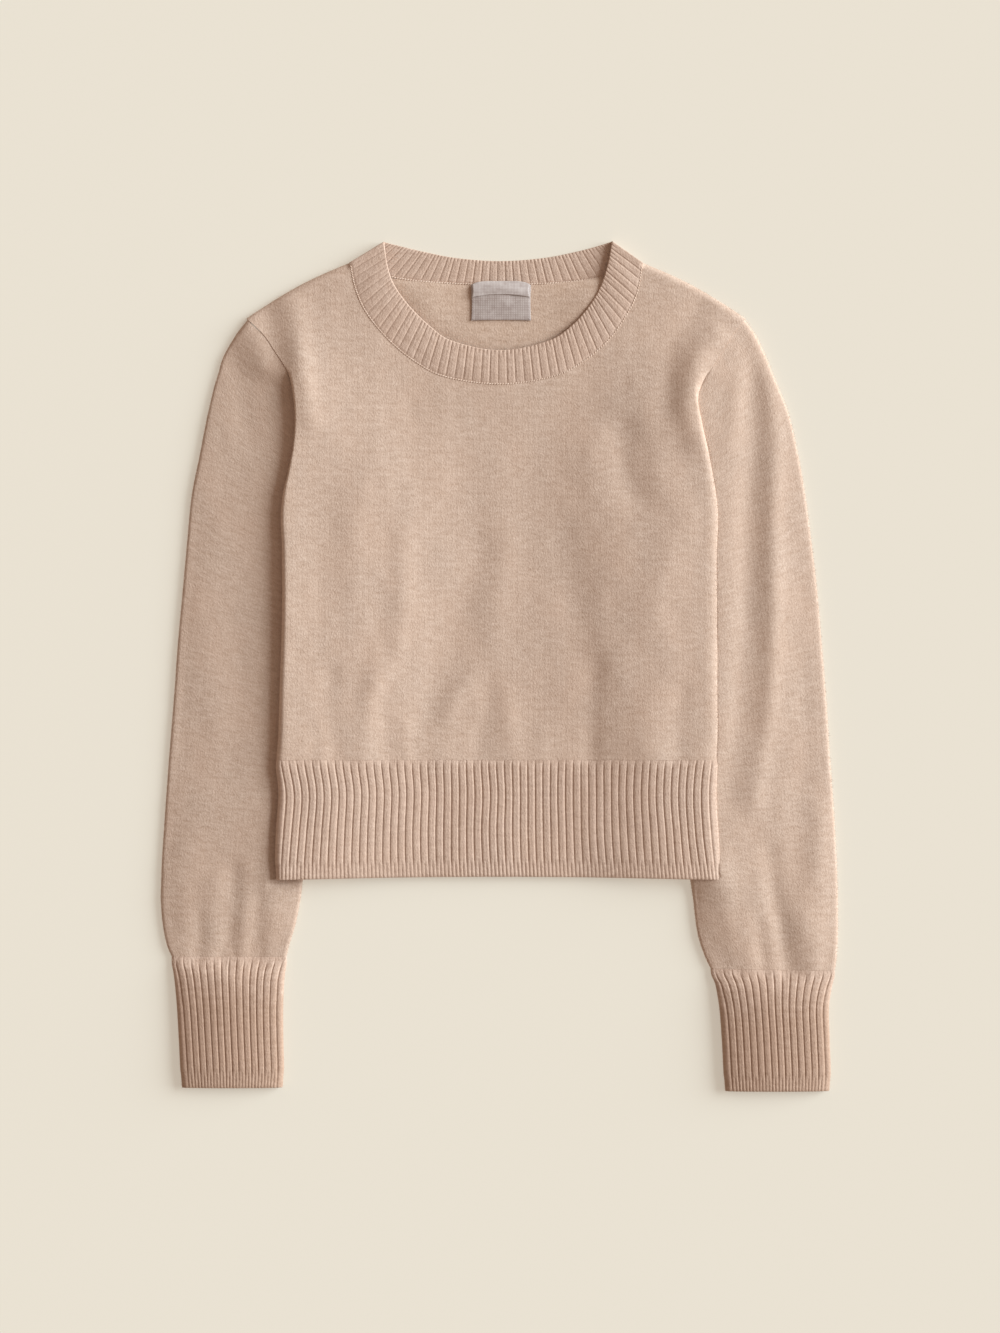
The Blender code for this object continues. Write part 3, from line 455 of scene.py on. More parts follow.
hemSeamY = -0.0752
panel = {
    "shoulderShare": 0.21,
    "shoulderColumns": 22,
    "neckColumns": 84,
    "rollSteps": 8,
    "rollWide": {left: 1.6, right: 3.4},     # a side edge is this much wider than it is deep
    "rows": 150,
    "sidePull": 10,
    "rollY": 0.222,          # the side is rolled below this and sewn to the sleeve above buttY
    "buttY": 0.240,
}


def makePanel(name, neckline, face, detail):
    share = panel["shoulderShare"]
    topY = bodyEdges[-1, 0]
    lowLeft, lowRight = bodyEdge(left, hemSeamY), bodyEdge(right, hemSeamY)
    seam = neckline[:, :2]

    def bottom(u):
        return np.stack([lowLeft + (lowRight - lowLeft) * u, np.full(u.shape, hemSeamY)], -1)

    def top(u):
        inNeck = np.clip((u - share) / (1 - 2 * share), 0, 1)
        neck = curveAt(seam, inNeck * (len(seam) - 1))
        first = shoulderLine(left, np.clip(1 - u / share, 0, 1))
        last = shoulderLine(right, np.clip((u - 1 + share) / share, 0, 1))
        return np.where((u < share)[..., None], first, np.where((u > 1 - share)[..., None], last, neck))

    def edge(side, v):
        y = hemSeamY + (topY - hemSeamY) * v
        return np.stack([bodyEdge(side, y), y], -1)

    radius = cloth["bodyLoft"] / 2
    angles = np.linspace(0, math.pi / 2, panel["rollSteps"] + 1)
    turned = 1 - np.cos(angles)
    inset, insetRight = (radius * panel["rollWide"][word] * turned for word in (left, right))
    shoulderCount = int(panel["shoulderColumns"] * detail)
    clear, clearRight = inset[-1] / (lowRight - lowLeft), insetRight[-1] / (lowRight - lowLeft)
    steps = np.arange(1, shoulderCount + 1) / shoulderCount
    shoulder, shoulderRight = (near + (share - near) * steps for near in (clear, clearRight))
    neckCount = int(panel["neckColumns"] * detail)
    neck = share + (1 - 2 * share) * smoothEnds(np.arange(1, neckCount) / neckCount)
    ends = np.ones(len(angles))
    u = np.concatenate([0 * ends, shoulder, neck, 1 - shoulderRight[::-1], ends])
    plain = np.zeros(len(u) - 2 * len(angles))
    sideInset = np.concatenate([inset, plain, -insetRight[::-1]])
    sideAngle = np.concatenate([angles, plain + math.pi / 2, angles[::-1]])
    side = np.concatenate([left * ends, plain, right * ends])
    rowCount = int(panel["rows"] * detail)
    # the plain rows stop short of the shoulders' roll, also on a column that is only 0.300 m long
    v = np.concatenate([np.arange(rowCount) / rowCount * (1 - 1.06 * inset[-1] / 0.300), ends])
    topInset = np.concatenate([np.zeros(rowCount), inset[::-1]])
    topAngle = np.concatenate([np.full(rowCount, math.pi / 2), angles[::-1]])

    u, v = np.meshgrid(u, v)
    topInset, topAngle = topInset[:, None], topAngle[:, None]
    onShoulder = (u <= share + 1e-6) | (u >= 1 - share - 1e-6)
    reach = np.linalg.norm(top(u) - bottom(u), axis=-1)
    v = v - topInset / reach
    span = np.linalg.norm(edge(right, v) - edge(left, v), axis=-1)
    u = u + sideInset / span
    flat = bottom(u) * (1 - v[..., None]) + top(u) * v[..., None]
    for which, pull in ((left, (1 - u) ** panel["sidePull"]), (right, u ** panel["sidePull"])):
        end = np.full(u.shape, 0.0 if which == left else 1.0)
        straight = bottom(end) * (1 - v[..., None]) + top(end) * v[..., None]
        flat = flat + (edge(which, v) - straight) * pull[..., None]
    x, y = flat[..., 0], flat[..., 1]
    rolled = np.where(side != 0, 1 - sewnShare(y), 0.0)
    drop = 1 - rolled * (1 - np.sin(sideAngle))
    drop = drop * np.where(onShoulder, np.sin(topAngle), 1.0)
    lift = bodyLift(x, y)
    middle = lift + radius + face * cloth["seamGap"] / 2
    level = bodyTop(x, y) if face > 0 else lift
    z = middle + (level - middle) * drop
    outer = np.stack([x, y, z], -1)
    normals = gridNormals(outer) * face
    inner = outer - normals * cloth["wall"]
    if face < 0:
        buckled = sum(high * np.exp(-((x - middleX) / wide) ** 2 - ((y - middleY) / long) ** 2)
                      for high, middleX, middleY, wide, long in buckles)
        inner[..., 2] += buckled * smooth((0.318 - y) / 0.012) + neckRise(x, y)
    return makeShell(name, outer, inner, np.stack([x, y], -1), sharpRows=(0, -1))


print("front and back panels")
front = makePanel("knit_front", neckFront, 1, 1.0)
back = makePanel("knit_back", neckBack[::-1], -1, 0.7)


# Ribbed bands. Columns per rib crowd into the narrow grooves; t is the place across one rib.
ribSteps = np.array((0.0, 0.055, 0.13, 0.25, 0.37, 0.445, 0.5, 0.555, 0.63, 0.75, 0.87, 0.945))
coarseSteps = np.array((0.0, 0.07, 0.17, 0.33, 0.5, 0.67, 0.83, 0.93))


def ribPlaces(ribs, steps):
    return (np.arange(ribs)[:, None] + steps[None, :]).reshape(-1)


hem = {
    "ribs": 58,
    "sag": 2.4 * mm,         # the free edge hangs this much lower in the middle
    "fineFrom": 0.872,       # share of the height where the finer starting edge begins
    "rows": 38,
    "bow": 3.4 * mm,         # how far the ribs beside each side seam bend inwards half way down
    "bowRibs": 6.0,
    "halfWidth": 0.178,
    "height": 0.096,
    "spacing": 6.1 * mm,
    "backRows": 24,
}
lip = {"from": 0.965, "rows": 5}     # share of a band's height where its free edge rounds off


def bandRows(count):
    # even rows, then closer ones round the free edge
    turns = np.linspace(0, math.pi / 2, lip["rows"] + 1)[1:]
    rounded = lip["from"] + (1 - lip["from"]) * np.sin(turns)
    return np.concatenate([np.linspace(0, lip["from"], count), rounded])


def lipThin(share, depth):
    # rounds a band's free edge, and lowers its first row under the cloth that it is linked to
    inLip = np.clip((share - lip["from"]) / (1 - lip["from"]), 0, 1)
    return depth * (1 - np.sqrt(np.maximum(1 - inLip ** 2, 0))) + cloth["sunk"] * (share == 0)


def ellipseArc(wide, high):
    # angles from an ellipse's end to its top, and the length round it to each
    turns = np.linspace(0, math.pi / 2, 200)
    steps = np.hypot(wide * np.sin(turns), high * np.cos(turns))
    return turns, np.concatenate([[0], np.cumsum((steps[1:] + steps[:-1]) / 2)]) * (turns[1] - turns[0])


def makeHem(name, face, steps, rowCount):
    radius = cloth["bodyLoft"] / 2
    rows = bandRows(rowCount)
    start = hemSeamY + cloth["allowance"]
    phase = np.concatenate([ribPlaces(hem["ribs"], steps), [hem["ribs"]]])
    share, phase = np.meshgrid(rows, phase, indexing="ij")
    middleY = start + (bodyEdges[0, 0] + hem["sag"] - start) * share
    lowX, highX = bodyEdge(left, middleY), bodyEdge(right, middleY)
    lowRoll, highRoll = (radius * panel["rollWide"][word] for word in (left, right))
    turns, lowTravel = ellipseArc(lowRoll, radius)
    highTravel = ellipseArc(highRoll, radius)[1]
    lowArc, highArc = lowTravel[-1], highTravel[-1]
    flatWidth = highX - lowX - lowRoll - highRoll
    length = flatWidth + lowArc + highArc
    q = length * phase / hem["ribs"]
    # beside the side seams the ribs bend inwards half way down and back out at the edge
    bend = np.sin(math.pi * np.clip(share, 0, 1) ** 0.8) - 0.35
    for fromSide, sign, amount in ((phase, 1, 1.0), (hem["ribs"] - phase, -1, 0.8)):
        hold = (1 - np.exp(-fromSide / 1.4)) * np.exp(-fromSide / hem["bowRibs"])
        q = q + sign * amount * hem["bow"] * 1.5 * bend * hold
    wander = 0.45 * mm * softNoise(phase * 0.006, share * 0.09, 0.028, 21)
    q = q + wander * smooth(phase / 3) * smooth((hem["ribs"] - phase) / 3)
    lowTurn, highTurn = np.interp(q, lowTravel, turns), np.interp(length - q, highTravel, turns)
    x = lowX + lowRoll + q - lowArc
    x = np.where(q > length - highArc, highX - highRoll * (1 - np.cos(highTurn)), x)
    x = np.where(q < lowArc, lowX + lowRoll * (1 - np.cos(lowTurn)), x)
    turn = np.minimum(lowTurn, highTurn)
    side = np.where(q < length / 2, -1.0, 1.0)
    low = bodyEdges[0, 0] + hem["sag"] * (1 - (x / hem["halfWidth"]) ** 2)
    y = start + (low - start) * share
    lift = bodyLift(x, y)
    level = bodyTop(x, y) if face > 0 else lift
    middle = lift + radius + face * cloth["seamGap"] / 2
    thin = lipThin(share, 0.8 * mm)
    z = middle + (level - face * thin - middle) * np.sin(turn)
    outer = np.stack([x, y, z], -1)
    outward = np.stack([side * np.cos(turn), np.zeros(x.shape), face * np.sin(turn)], -1)
    inner = outer - outward * (cloth["ribWall"] - 2 * thin)[..., None]
    starts = 1.4 * mm + 1.2 * mm * softNoise(phase, phase * 0, 0.9, 33)
    raised = smooth((share * hem["height"] - starts) / (4.0 * mm))
    raised = raised * (1 - 0.5 * smooth((share - 0.985) / 0.015))
    fine = smooth((share - hem["fineFrom"]) / 0.02)
    floor = np.full(x.shape, 0.0 if face > 0 else 1.0)
    nothing = np.zeros(x.shape)
    facts = {"ribPlace": (phase, phase), "ribRaise": (raised, nothing), "ribFloor": (floor, nothing),
             "ribFine": (fine, fine), "ribOut": (outward, outward)}
    return makeShell(name, outer, inner, np.stack([phase * hem["spacing"], y], -1), facts=facts)


rollWide = 1.5               # a tube's rolled edge is this much wider than it is high


def makeRing(name, outerEdge, innerEdge, topAt, segments, wall,
             bow=None, thin=None, facts=None, sharpRows=(0,)):
    # a flattened tube lying on the surface: outer roll, upper layer, inner roll, lower layer
    across = outerEdge - innerEdge
    across = across / np.linalg.norm(across, axis=-1, keepdims=True)

    def radiusAt(point, sign):
        first = topAt(point[:, 0], point[:, 1]) / 2
        moved = point - sign * across * first[:, None] * rollWide
        return topAt(moved[:, 0], moved[:, 1]) / 2

    outerRadius, innerRadius = radiusAt(outerEdge, 1), radiusAt(innerEdge, -1)
    start = outerEdge - across * (outerRadius * rollWide)[:, None]
    end = innerEdge + across * (innerRadius * rollWide)[:, None]
    thin = np.zeros(len(outerEdge)) if thin is None else thin
    columns, heights = [], []
    for kind, shares in enumerate(segments):
        for s in shares:
            if kind in (0, 2):
                radius, centre, sign = (outerRadius, start, 1) if kind == 0 else (innerRadius, end, -1)
                turn = (s - 0.5) * math.pi if kind == 0 else (0.5 - s) * math.pi
                flat = centre + sign * across * (radius * rollWide * math.cos(turn))[:, None]
                height = radius + (radius - thin) * math.sin(turn)
                place = 0.0 if kind == 0 else 1.0
            else:
                place = s if kind == 1 else 1 - s
                flat = start + (end - start) * place
            if bow is not None:
                # a sleeve's first rows are bent to the armhole before their height is taken
                flat = flat + bow(flat, place)
            if kind in (1, 3):
                height = topAt(flat[:, 0], flat[:, 1]) - thin if kind == 1 else thin
            columns.append(flat)
            heights.append(height)
    flat = np.stack(columns, 1)
    outer = np.concatenate([flat, np.stack(heights, 1)[..., None]], -1)
    normals = gridNormals(outer, closed=True)
    middle = outer.mean(axis=1, keepdims=True)
    if ((outer - middle) * normals).sum() < 0:
        normals = -normals
    inner = outer - normals * (wall - 2 * thin)[:, None, None]
    inner[..., 2] = np.maximum(inner[..., 2], 0.3 * mm)
    steps = np.linalg.norm(np.diff(np.concatenate([outer, outer[:, :1]], 1), axis=1), axis=-1).mean(axis=0)
    around = np.concatenate([[0], np.cumsum(steps)])
    along = np.concatenate([[0], np.cumsum(np.linalg.norm(np.diff(outer[:, 0], axis=0), axis=-1))])
    uv = np.stack(np.broadcast_arrays(around[None, :], -along[:, None]), -1)
    if facts:
        # ribs stand out sideways and upwards only, so that the underside stays flat
        facts["ribOut"] = (np.maximum(normals, (-1, -1, 0)), normals)
    return makeShell(name, outer, inner, uv, closed=True, facts=facts, sharpRows=sharpRows)


sleeve = {"rows": 150, "rollColumns": 9, "upperColumns": 78, "lowerColumns": 20, "tuck": 6 * mm}


def makeSleeve(name, side):
    table = sleeveSections[side]
    places = np.linspace(0, len(table) - 1, sleeve["rows"])
    sections = curveAt(table, places)
    roll = np.arange(sleeve["rollColumns"]) / sleeve["rollColumns"]
    segments = (roll, np.arange(sleeve["upperColumns"]) / sleeve["upperColumns"], roll,
                np.arange(sleeve["lowerColumns"]) / sleeve["lowerColumns"])
    fade = smooth(1 - places)[:, None]

    def bow(flat, place):
        first = sections[0, :2] + (sections[0, 2:] - sections[0, :2]) * place
        # it tucks under the body where the body's side is rolled
        tuck = sleeve["tuck"] * (1 - sewnShare(first[1]))
        edge = np.array((bodyEdge(side, first[1]) - side * (tuck + cloth["allowance"]), first[1]))
        return (edge - first) * fade

    return makeRing(name, sections[:, :2], sections[:, 2:], lambda x, y: sleeveTop(side, x, y),
                    segments, cloth["wall"], bow=bow, sharpRows=(0, -1))


cuff = {
    "upperRibs": 14,
    "rollRibs": 2,
    "rows": 40,
    "fineFrom": 0.88,
    "height": 0.10,
    "meet": 0.12,                # over this share of its height it takes on its own width
    "starts": (2.6 * mm, 2.4 * mm),          # its ribs start this far down, give or take the second
    "edgeLoft": -1.4 * mm,       # its edges lie this much off cuffLoft, and its dome stands on them
    "domeLoft": 5.0 * mm,
}


def makeCuff(name, side):
    table = cuffEdges[side]
    rows = bandRows(cuff["rows"])
    last = sleeveSections[side][-1]
    start = last[1] + cloth["allowance"]
    y = start + (table[-1, 0] - start) * rows
    lowX, highX = tableAt(table, 1, y), tableAt(table, 2, y)
    outerX, innerX = (lowX, highX) if side == left else (highX, lowX)
    meet = 1 - smooth(rows / cuff["meet"])
    outerX = outerX + (last[0] - outerX) * meet
    innerX = innerX + (last[2] - innerX) * meet
    innerY = y + (last[3] - last[1]) * (1 - rows)
    upper, roll = ribPlaces(cuff["upperRibs"], ribSteps), ribPlaces(cuff["rollRibs"], coarseSteps)
    lower = ribPlaces(cuff["upperRibs"], coarseSteps)
    rollShare = roll / cuff["rollRibs"]
    segments = (rollShare, upper / cuff["upperRibs"], rollShare, lower / cuff["upperRibs"])
    phase = np.concatenate([roll, upper, roll, lower])
    isLower = np.concatenate([roll * 0, upper * 0, roll * 0, lower * 0 + 1])
    share, phase = np.meshgrid(rows, phase, indexing="ij")
    isLower = np.broadcast_to(isLower, share.shape)
    starts = cuff["starts"][0] + cuff["starts"][1] * softNoise(phase, phase * 0, 0.8, 40 + side)
    raised = smooth((share * cuff["height"] - starts) / (6.5 * mm))
    raised = raised * (1 - 0.5 * smooth((share - 0.985) / 0.015))
    fine = smooth((share - cuff["fineFrom"]) / 0.02)
    nothing = np.zeros(share.shape)
    facts = {"ribPlace": (phase, phase), "ribRaise": (raised, nothing),
             "ribFloor": (isLower, nothing), "ribFine": (fine, fine)}

    def topAt(x, yy):
        across = (x - table[2, 1:].mean()) / (0.5 * (table[2, 2] - table[2, 1]))
        dome = cuff["domeLoft"] * np.sqrt(np.clip(1 - across ** 2, 0, 1))
        own = cloth["cuffLoft"] + cuff["edgeLoft"] + dome
        own = own + 0.3 * mm * softNoise(x, yy * 0.5, 0.02, 50 + side)
        return own + (sleeveTop(side, x, yy) - own) * (1 - smooth((start - yy) / 0.020))

    return makeRing(name, np.stack([outerX, y], -1), np.stack([innerX, innerY], -1), topAt, segments,
                    cloth["ribWall"], thin=lipThin(rows, 0.7 * mm), facts=facts)


neckband = {"frontRibs": 46, "backRibs": 34, "rows": 17, "fineFrom": 0.84, "foldSteps": 9}


def neckLines(table, shares):
    # seam and free edge at equal steps of the band's middle line, and the way away from the seam
    places = np.linspace(0, len(table) - 1, 600)
    both = curveAt(table, places)
    centre = (both[:, :2] + both[:, 2:]) / 2
    length = np.concatenate([[0], np.cumsum(np.linalg.norm(np.diff(centre, axis=0), axis=-1))])
    at = np.interp(np.asarray(shares) * length[-1], length, places)
    both = curveAt(table, at)
    seam, free = both[:, :2], both[:, 2:]
    along = np.gradient(seam, axis=0)
    away = np.stack([-along[:, 1], along[:, 0]], -1)
    away = away / np.linalg.norm(away, axis=-1, keepdims=True)
    away *= np.sign(((free - seam) * away).sum(-1))[:, None]
    return seam - away * cloth["allowance"], free


def makeNeckband(name):
    rows = bandRows(neckband["rows"])
    radius = cloth["bodyLoft"] / 2
    halves = []
    for table, ribs in ((neckFront, neckband["frontRibs"]), (neckBack, neckband["backRibs"])):
        phase = ribPlaces(ribs, ribSteps)[1:]
        halves.append((phase, *neckLines(table, np.concatenate([[0], phase, [ribs]]) / ribs)))
    # a column's seam point, free point, face (0 in a fold), turn, place in the ribs, way out
    columns = []
    for half, face in ((0, 1), (1, -1)):
        phase, seam, free = halves[half]
        nextSeam, nextFree = halves[1 - half][1:]
        for k, place in enumerate(phase):
            columns.append((seam[k + 1], free[k + 1], face, math.pi / 2, place, (0.0, 0.0)))
        corner = (seam[-1] + nextSeam[0]) / 2
        tip = free[-1]
        along = (tip - corner) / np.linalg.norm(tip - corner)
        out = (-along[1], along[0]) if corner[0] < 0 else (along[1], -along[0])
        for turn in np.linspace(math.pi / 2, -math.pi / 2, neckband["foldSteps"] + 2)[1:-1]:
            nearSeam, nearFree = (seam[-2], free[-2]) if turn > 0 else (nextSeam[1], nextFree[1])
            endSeam = seam[-1] if turn > 0 else nextSeam[0]
            slide = 1 - math.cos(turn)
            seamPoint = corner + (endSeam - corner) * min(slide * 1.2, 1)
            seamPoint = seamPoint + (nearSeam - endSeam) * slide * 0.6
            freePoint = tip + (nearFree - tip) * slide * 0.6
            columns.append((seamPoint, freePoint, 0, turn * face, 0.0, out))
    seams, frees, faces, turns, phases, outs = (np.array(values) for values in zip(*columns))
    share = rows[:, None]
    flat = seams[None] + (frees - seams)[None] * share[..., None]
    thin = lipThin(share, 0.8 * mm)
    inFront = smooth((neckCircle["foldY"] - seams[:, 1]) / neckCircle["foldRise"])
    rise = (cloth["neckLoft"] - cloth["bodyLoft"]) * inFront
    belly = 0.5 * mm * np.sin(math.pi * np.clip(share * 1.05, 0, 1))
    belly = belly * smooth((0.3180 - seams[:, 1]) / 0.020)
    own = cloth["bodyLoft"] + rise[None] + belly
    seamLevel = bodyTop(seams[:, 0], seams[:, 1])[None]
    up = own + (seamLevel - own) * (1 - smooth(share / 0.35)) - thin
    z = np.where(faces > 0, up, np.where(faces < 0, thin, radius * (1 + np.sin(turns))))
    outer = np.concatenate([flat, z[..., None]], -1)
    folded = np.stack([outs[:, 0] * np.cos(turns), outs[:, 1] * np.cos(turns), np.sin(turns)], -1)
    upright = np.stack([faces * 0.0, faces * 0.0, faces * 1.0], -1)
    normal = np.broadcast_to(np.where((faces == 0)[:, None], folded, upright)[None], outer.shape)
    inner = outer - normal * (cloth["ribWall"] - 2 * thin)[..., None]
    width = np.linalg.norm(frees - seams, axis=-1)[None] * share
    raised = smooth((width - 0.8 * mm) / (2.0 * mm)) * (1 - 0.45 * smooth((share - 0.975) / 0.025))
    frontRaise = np.where(faces > 0, raised, 0.0)
    backRaise = np.where(faces < 0, raised, 0.0)
    phase = np.broadcast_to(phases[None], outer.shape[:2])
    fine = np.broadcast_to(smooth((share - neckband["fineFrom"]) / 0.03), phase.shape)
    nothing = np.zeros(phase.shape)
    facts = {"ribPlace": (phase, phase), "ribRaise": (frontRaise, backRaise),
             "ribFloor": (nothing, nothing), "ribFine": (fine, fine), "ribOut": (normal, -normal)}
    steps = np.linalg.norm(np.diff(np.concatenate([seams, seams[:1]]), axis=0), axis=-1)
    around = np.concatenate([[0], np.cumsum(steps)])
    widthUv = np.linalg.norm(frees - seams, axis=-1).mean() * rows
    uv = np.stack(np.broadcast_arrays(around[None, :], widthUv[:, None]), -1)
    return makeShell(name, outer, inner, uv, closed=True, facts=facts)


print("sleeves")
sides = {left: "left", right: "right"}
sleeves = {side: makeSleeve("knit_sleeve_" + word, side) for side, word in sides.items()}
print("bands")
hemFront = makeHem("rib_hem_front", 1, ribSteps, hem["rows"])
hemBack = makeHem("rib_hem_back", -1, coarseSteps, hem["backRows"])
cuffs = {side: makeCuff("rib_cuff_" + word, side) for side, word in sides.items()}
neck = makeNeckband("rib_neckband")

label = {"x": 1.2 * mm, "wall": 0.9 * mm}
# Each label: how high it lies over the cloth, how far its lower edge arches, how round its upper
# corners are, how much its middle puffs up and how wavy it lies
mainShape = {"width": 48 * mm, "height": 29 * mm, "y": 291.2 * mm, "over": 0.2 * mm,
             "arch": 0.6 * mm, "corner": 0.4 * mm, "puff": 1.0 * mm, "wave": 0.35 * mm, "seed": 61}
smallShape = {"width": 46 * mm, "height": 13 * mm, "y": 301.8 * mm, "over": 1.7 * mm,
              "arch": 2.2 * mm, "corner": 2.6 * mm, "puff": 0.9 * mm, "wave": 0.30 * mm, "seed": 62}


def makeLabel(name, shape):
    s, t = np.meshgrid(np.linspace(0, 1, 73), np.linspace(0, 1, 37))
    outward = np.abs(2 * s - 1)
    width, height = shape["width"], shape["height"]
    x = label["x"] + width * (s - 0.5) * (1 - 0.02 * np.sin(math.pi * t))
    y = shape["y"] + height * (t - 0.5)
    y = y + shape["arch"] * (1 - outward ** 2) * (1 - t) - shape["corner"] * outward ** 5 * t
    edge = np.minimum(np.minimum(s, 1 - s) * width, np.minimum(t, 1 - t) * height)
    puffed = shape["puff"] * np.sin(math.pi * s) * np.sin(math.pi * np.clip(t, 0.1, 0.9))
    z = cloth["wall"] + neckRise(x, y) + shape["over"] + puffed
    z = z + shape["wave"] * (1 + softNoise(x, y * 0.7, 0.011, shape["seed"]))
    soft = 0.3 * mm * (1 - np.sqrt(1 - (1 - np.clip(edge / (0.8 * mm), 0, 1)) ** 2))
    outer = np.stack([x, y, z + label["wall"] - soft], -1)
    inner = np.stack([x, y, z + soft * 0.4], -1)
    return makeShell(name, outer, inner, np.stack([x, y], -1))


def hexColour(code):
    # sRGB hex to linear
    parts = [int(code[i:i + 2], 16) / 255 for i in (0, 2, 4)]
    return tuple(p / 12.92 if p <= 0.04045 else ((p + 0.055) / 1.055) ** 2.4 for p in parts) + (1.0,)


def addNode(tree, kind, inputs=None, **settings):
    # a node with its settings; an input is a value or another node's output
    node = tree.nodes.new(kind)
    for key, value in settings.items():
        setattr(node, key, value)
    for key, value in (inputs or {}).items():
        if isinstance(value, bpy.types.NodeSocket):
            tree.links.new(value, node.inputs[key])
        else:
            node.inputs[key].default_value = value
    return node


def newTree(name, inputs):
    # a Geometry Nodes tree with a geometry socket each way and named inputs
    tree = bpy.data.node_groups.new(name, "GeometryNodeTree")
    tree.interface.new_socket("Geometry", in_out="INPUT", socket_type="NodeSocketGeometry")
    for word, kind, value in inputs:
        socket = tree.interface.new_socket(word, in_out="INPUT", socket_type="NodeSocket" + kind)
        if value is not None:
            socket.default_value = value
    tree.interface.new_socket("Geometry", in_out="OUTPUT", socket_type="NodeSocketGeometry")
    return tree, tree.nodes.new("NodeGroupInput"), tree.nodes.new("NodeGroupOutput")


def endTree(tree, geometry, start, end):
    # the tree's result: real geometry in the piece's finish
    real = addNode(tree, "GeometryNodeRealizeInstances", {"Geometry": geometry})
    finished = addNode(tree, "GeometryNodeSetMaterial", {
        "Geometry": real.outputs[0], "Material": start.outputs["Finish"]})
    tree.links.new(finished.outputs[0], end.inputs[0])


def runTree(piece, tree, values):
    # sets a tree's inputs by their identifiers, keeps its result as a plain mesh
    modifier = piece.modifiers.new(tree.name, "NODES")
    modifier.node_group = tree
    for item in tree.interface.items_tree:
        if item.item_type == "SOCKET" and item.in_out == "INPUT" and item.name in values:
            modifier[item.identifier] = values[item.name]
    piece.update_tag()
    bpy.context.view_layer.update()
    made = bpy.data.meshes.new_from_object(piece.evaluated_get(bpy.context.evaluated_depsgraph_get()))
    old = piece.data
    piece.modifiers.clear()
    piece.data = made
    bpy.data.meshes.remove(old)
    made.name = piece.name
    return piece


# Knit rib: rounded ribs with narrow grooves, pushed out along ribOut; finer and flatter at the edge
ribTree, ribIn, ribOut = newTree("rib_knit", (
    ("Rib Height", "Float", 0.9 * mm), ("Fine Height", "Float", 0.5 * mm),
    ("Roundness", "Float", 2.4), ("Finish", "Material", None)))
place, floorSide, fineShare, raiseShare, outward = (
    addNode(ribTree, "GeometryNodeInputNamedAttribute", {"Name": word},
            data_type="FLOAT_VECTOR" if word == "ribOut" else "FLOAT").outputs["Attribute"]
    for word in ("ribPlace", "ribFloor", "ribFine", "ribRaise", "ribOut"))
ups = []
for times, roundness, high in ((1.0, ribIn.outputs["Roundness"], ribIn.outputs["Rib Height"]),
                               (2.0, 1.3, ribIn.outputs["Fine Height"])):
    value = place
    # high * (1 - (1 - sine across the rib) ^ roundness); on the underside the grooves sink instead
    for operation, others in (
            ("MULTIPLY", {1: times}), ("FRACT", {}), ("MULTIPLY", {1: math.pi}), ("SINE", {}),
            ("MULTIPLY_ADD", {1: -1.0, 2: 1.0}), ("MAXIMUM", {1: 0.0}), ("POWER", {1: roundness}),
            ("MULTIPLY_ADD", {1: -1.0, 2: 1.0}), ("SUBTRACT", {1: floorSide}), ("MULTIPLY", {1: high})):
        value = addNode(ribTree, "ShaderNodeMath", {0: value, **others}, operation=operation).outputs[0]
    ups.append(value)
mixed = addNode(ribTree, "ShaderNodeMix", {0: fineShare, 2: ups[0], 3: ups[1]}).outputs[0]
pushed = addNode(ribTree, "ShaderNodeMath", {0: mixed, 1: raiseShare}, operation="MULTIPLY").outputs[0]
way = addNode(ribTree, "ShaderNodeVectorMath", {0: outward, "Scale": pushed}, operation="SCALE")
moved = addNode(ribTree, "GeometryNodeSetPosition", {
    "Geometry": ribIn.outputs["Geometry"], "Offset": way.outputs[0]})
endTree(ribTree, moved.outputs[0], ribIn, ribOut)

# Linking and sewing: short rounded stitches head to tail along a path, each turned a little
linkTree, linkIn, linkOut = newTree("linked_stitches", (
    ("Spacing", "Float", 2.3 * mm), ("Size", "Vector", (2.4 * mm, 1.1 * mm, 0.9 * mm)),
    ("Turn", "Float", 0.3), ("Seed", "Int", 5), ("Finish", "Material", None)))
path = addNode(linkTree, "GeometryNodeMeshToCurve", {"Mesh": linkIn.outputs["Geometry"]}).outputs[0]
spaced = addNode(linkTree, "GeometryNodeResampleCurve", {
    "Curve": path, "Length": linkIn.outputs["Spacing"]}, mode="LENGTH")
tangent = addNode(linkTree, "GeometryNodeInputTangent").outputs[0]
aligned = addNode(linkTree, "FunctionNodeAlignRotationToVector", {"Vector": tangent}, axis="X")
swing = addNode(linkTree, "FunctionNodeRandomValue", {
    "Seed": linkIn.outputs["Seed"], 2: 0.6, 3: 1.0}, data_type="FLOAT").outputs[1]
yaw = addNode(linkTree, "ShaderNodeMath", {
    0: swing, 1: linkIn.outputs["Turn"]}, operation="MULTIPLY").outputs[0]
twist = addNode(linkTree, "FunctionNodeAxisAngleToRotation", {"Angle": yaw})
turned = addNode(linkTree, "FunctionNodeRotateRotation", {
    "Rotation": aligned.outputs[0], "Rotate By": twist.outputs[0]}, rotation_space="LOCAL")
bead = addNode(linkTree, "GeometryNodeMeshUVSphere", {"Segments": 8, "Rings": 5, "Radius": 0.5})
soft = addNode(linkTree, "GeometryNodeSetShadeSmooth", {"Geometry": bead.outputs["Mesh"]})
beads = addNode(linkTree, "GeometryNodeInstanceOnPoints", {
    "Points": spaced.outputs[0], "Instance": soft.outputs[0],
    "Rotation": turned.outputs[0], "Scale": linkIn.outputs["Size"]})
endTree(linkTree, beads.outputs[0], linkIn, linkOut)

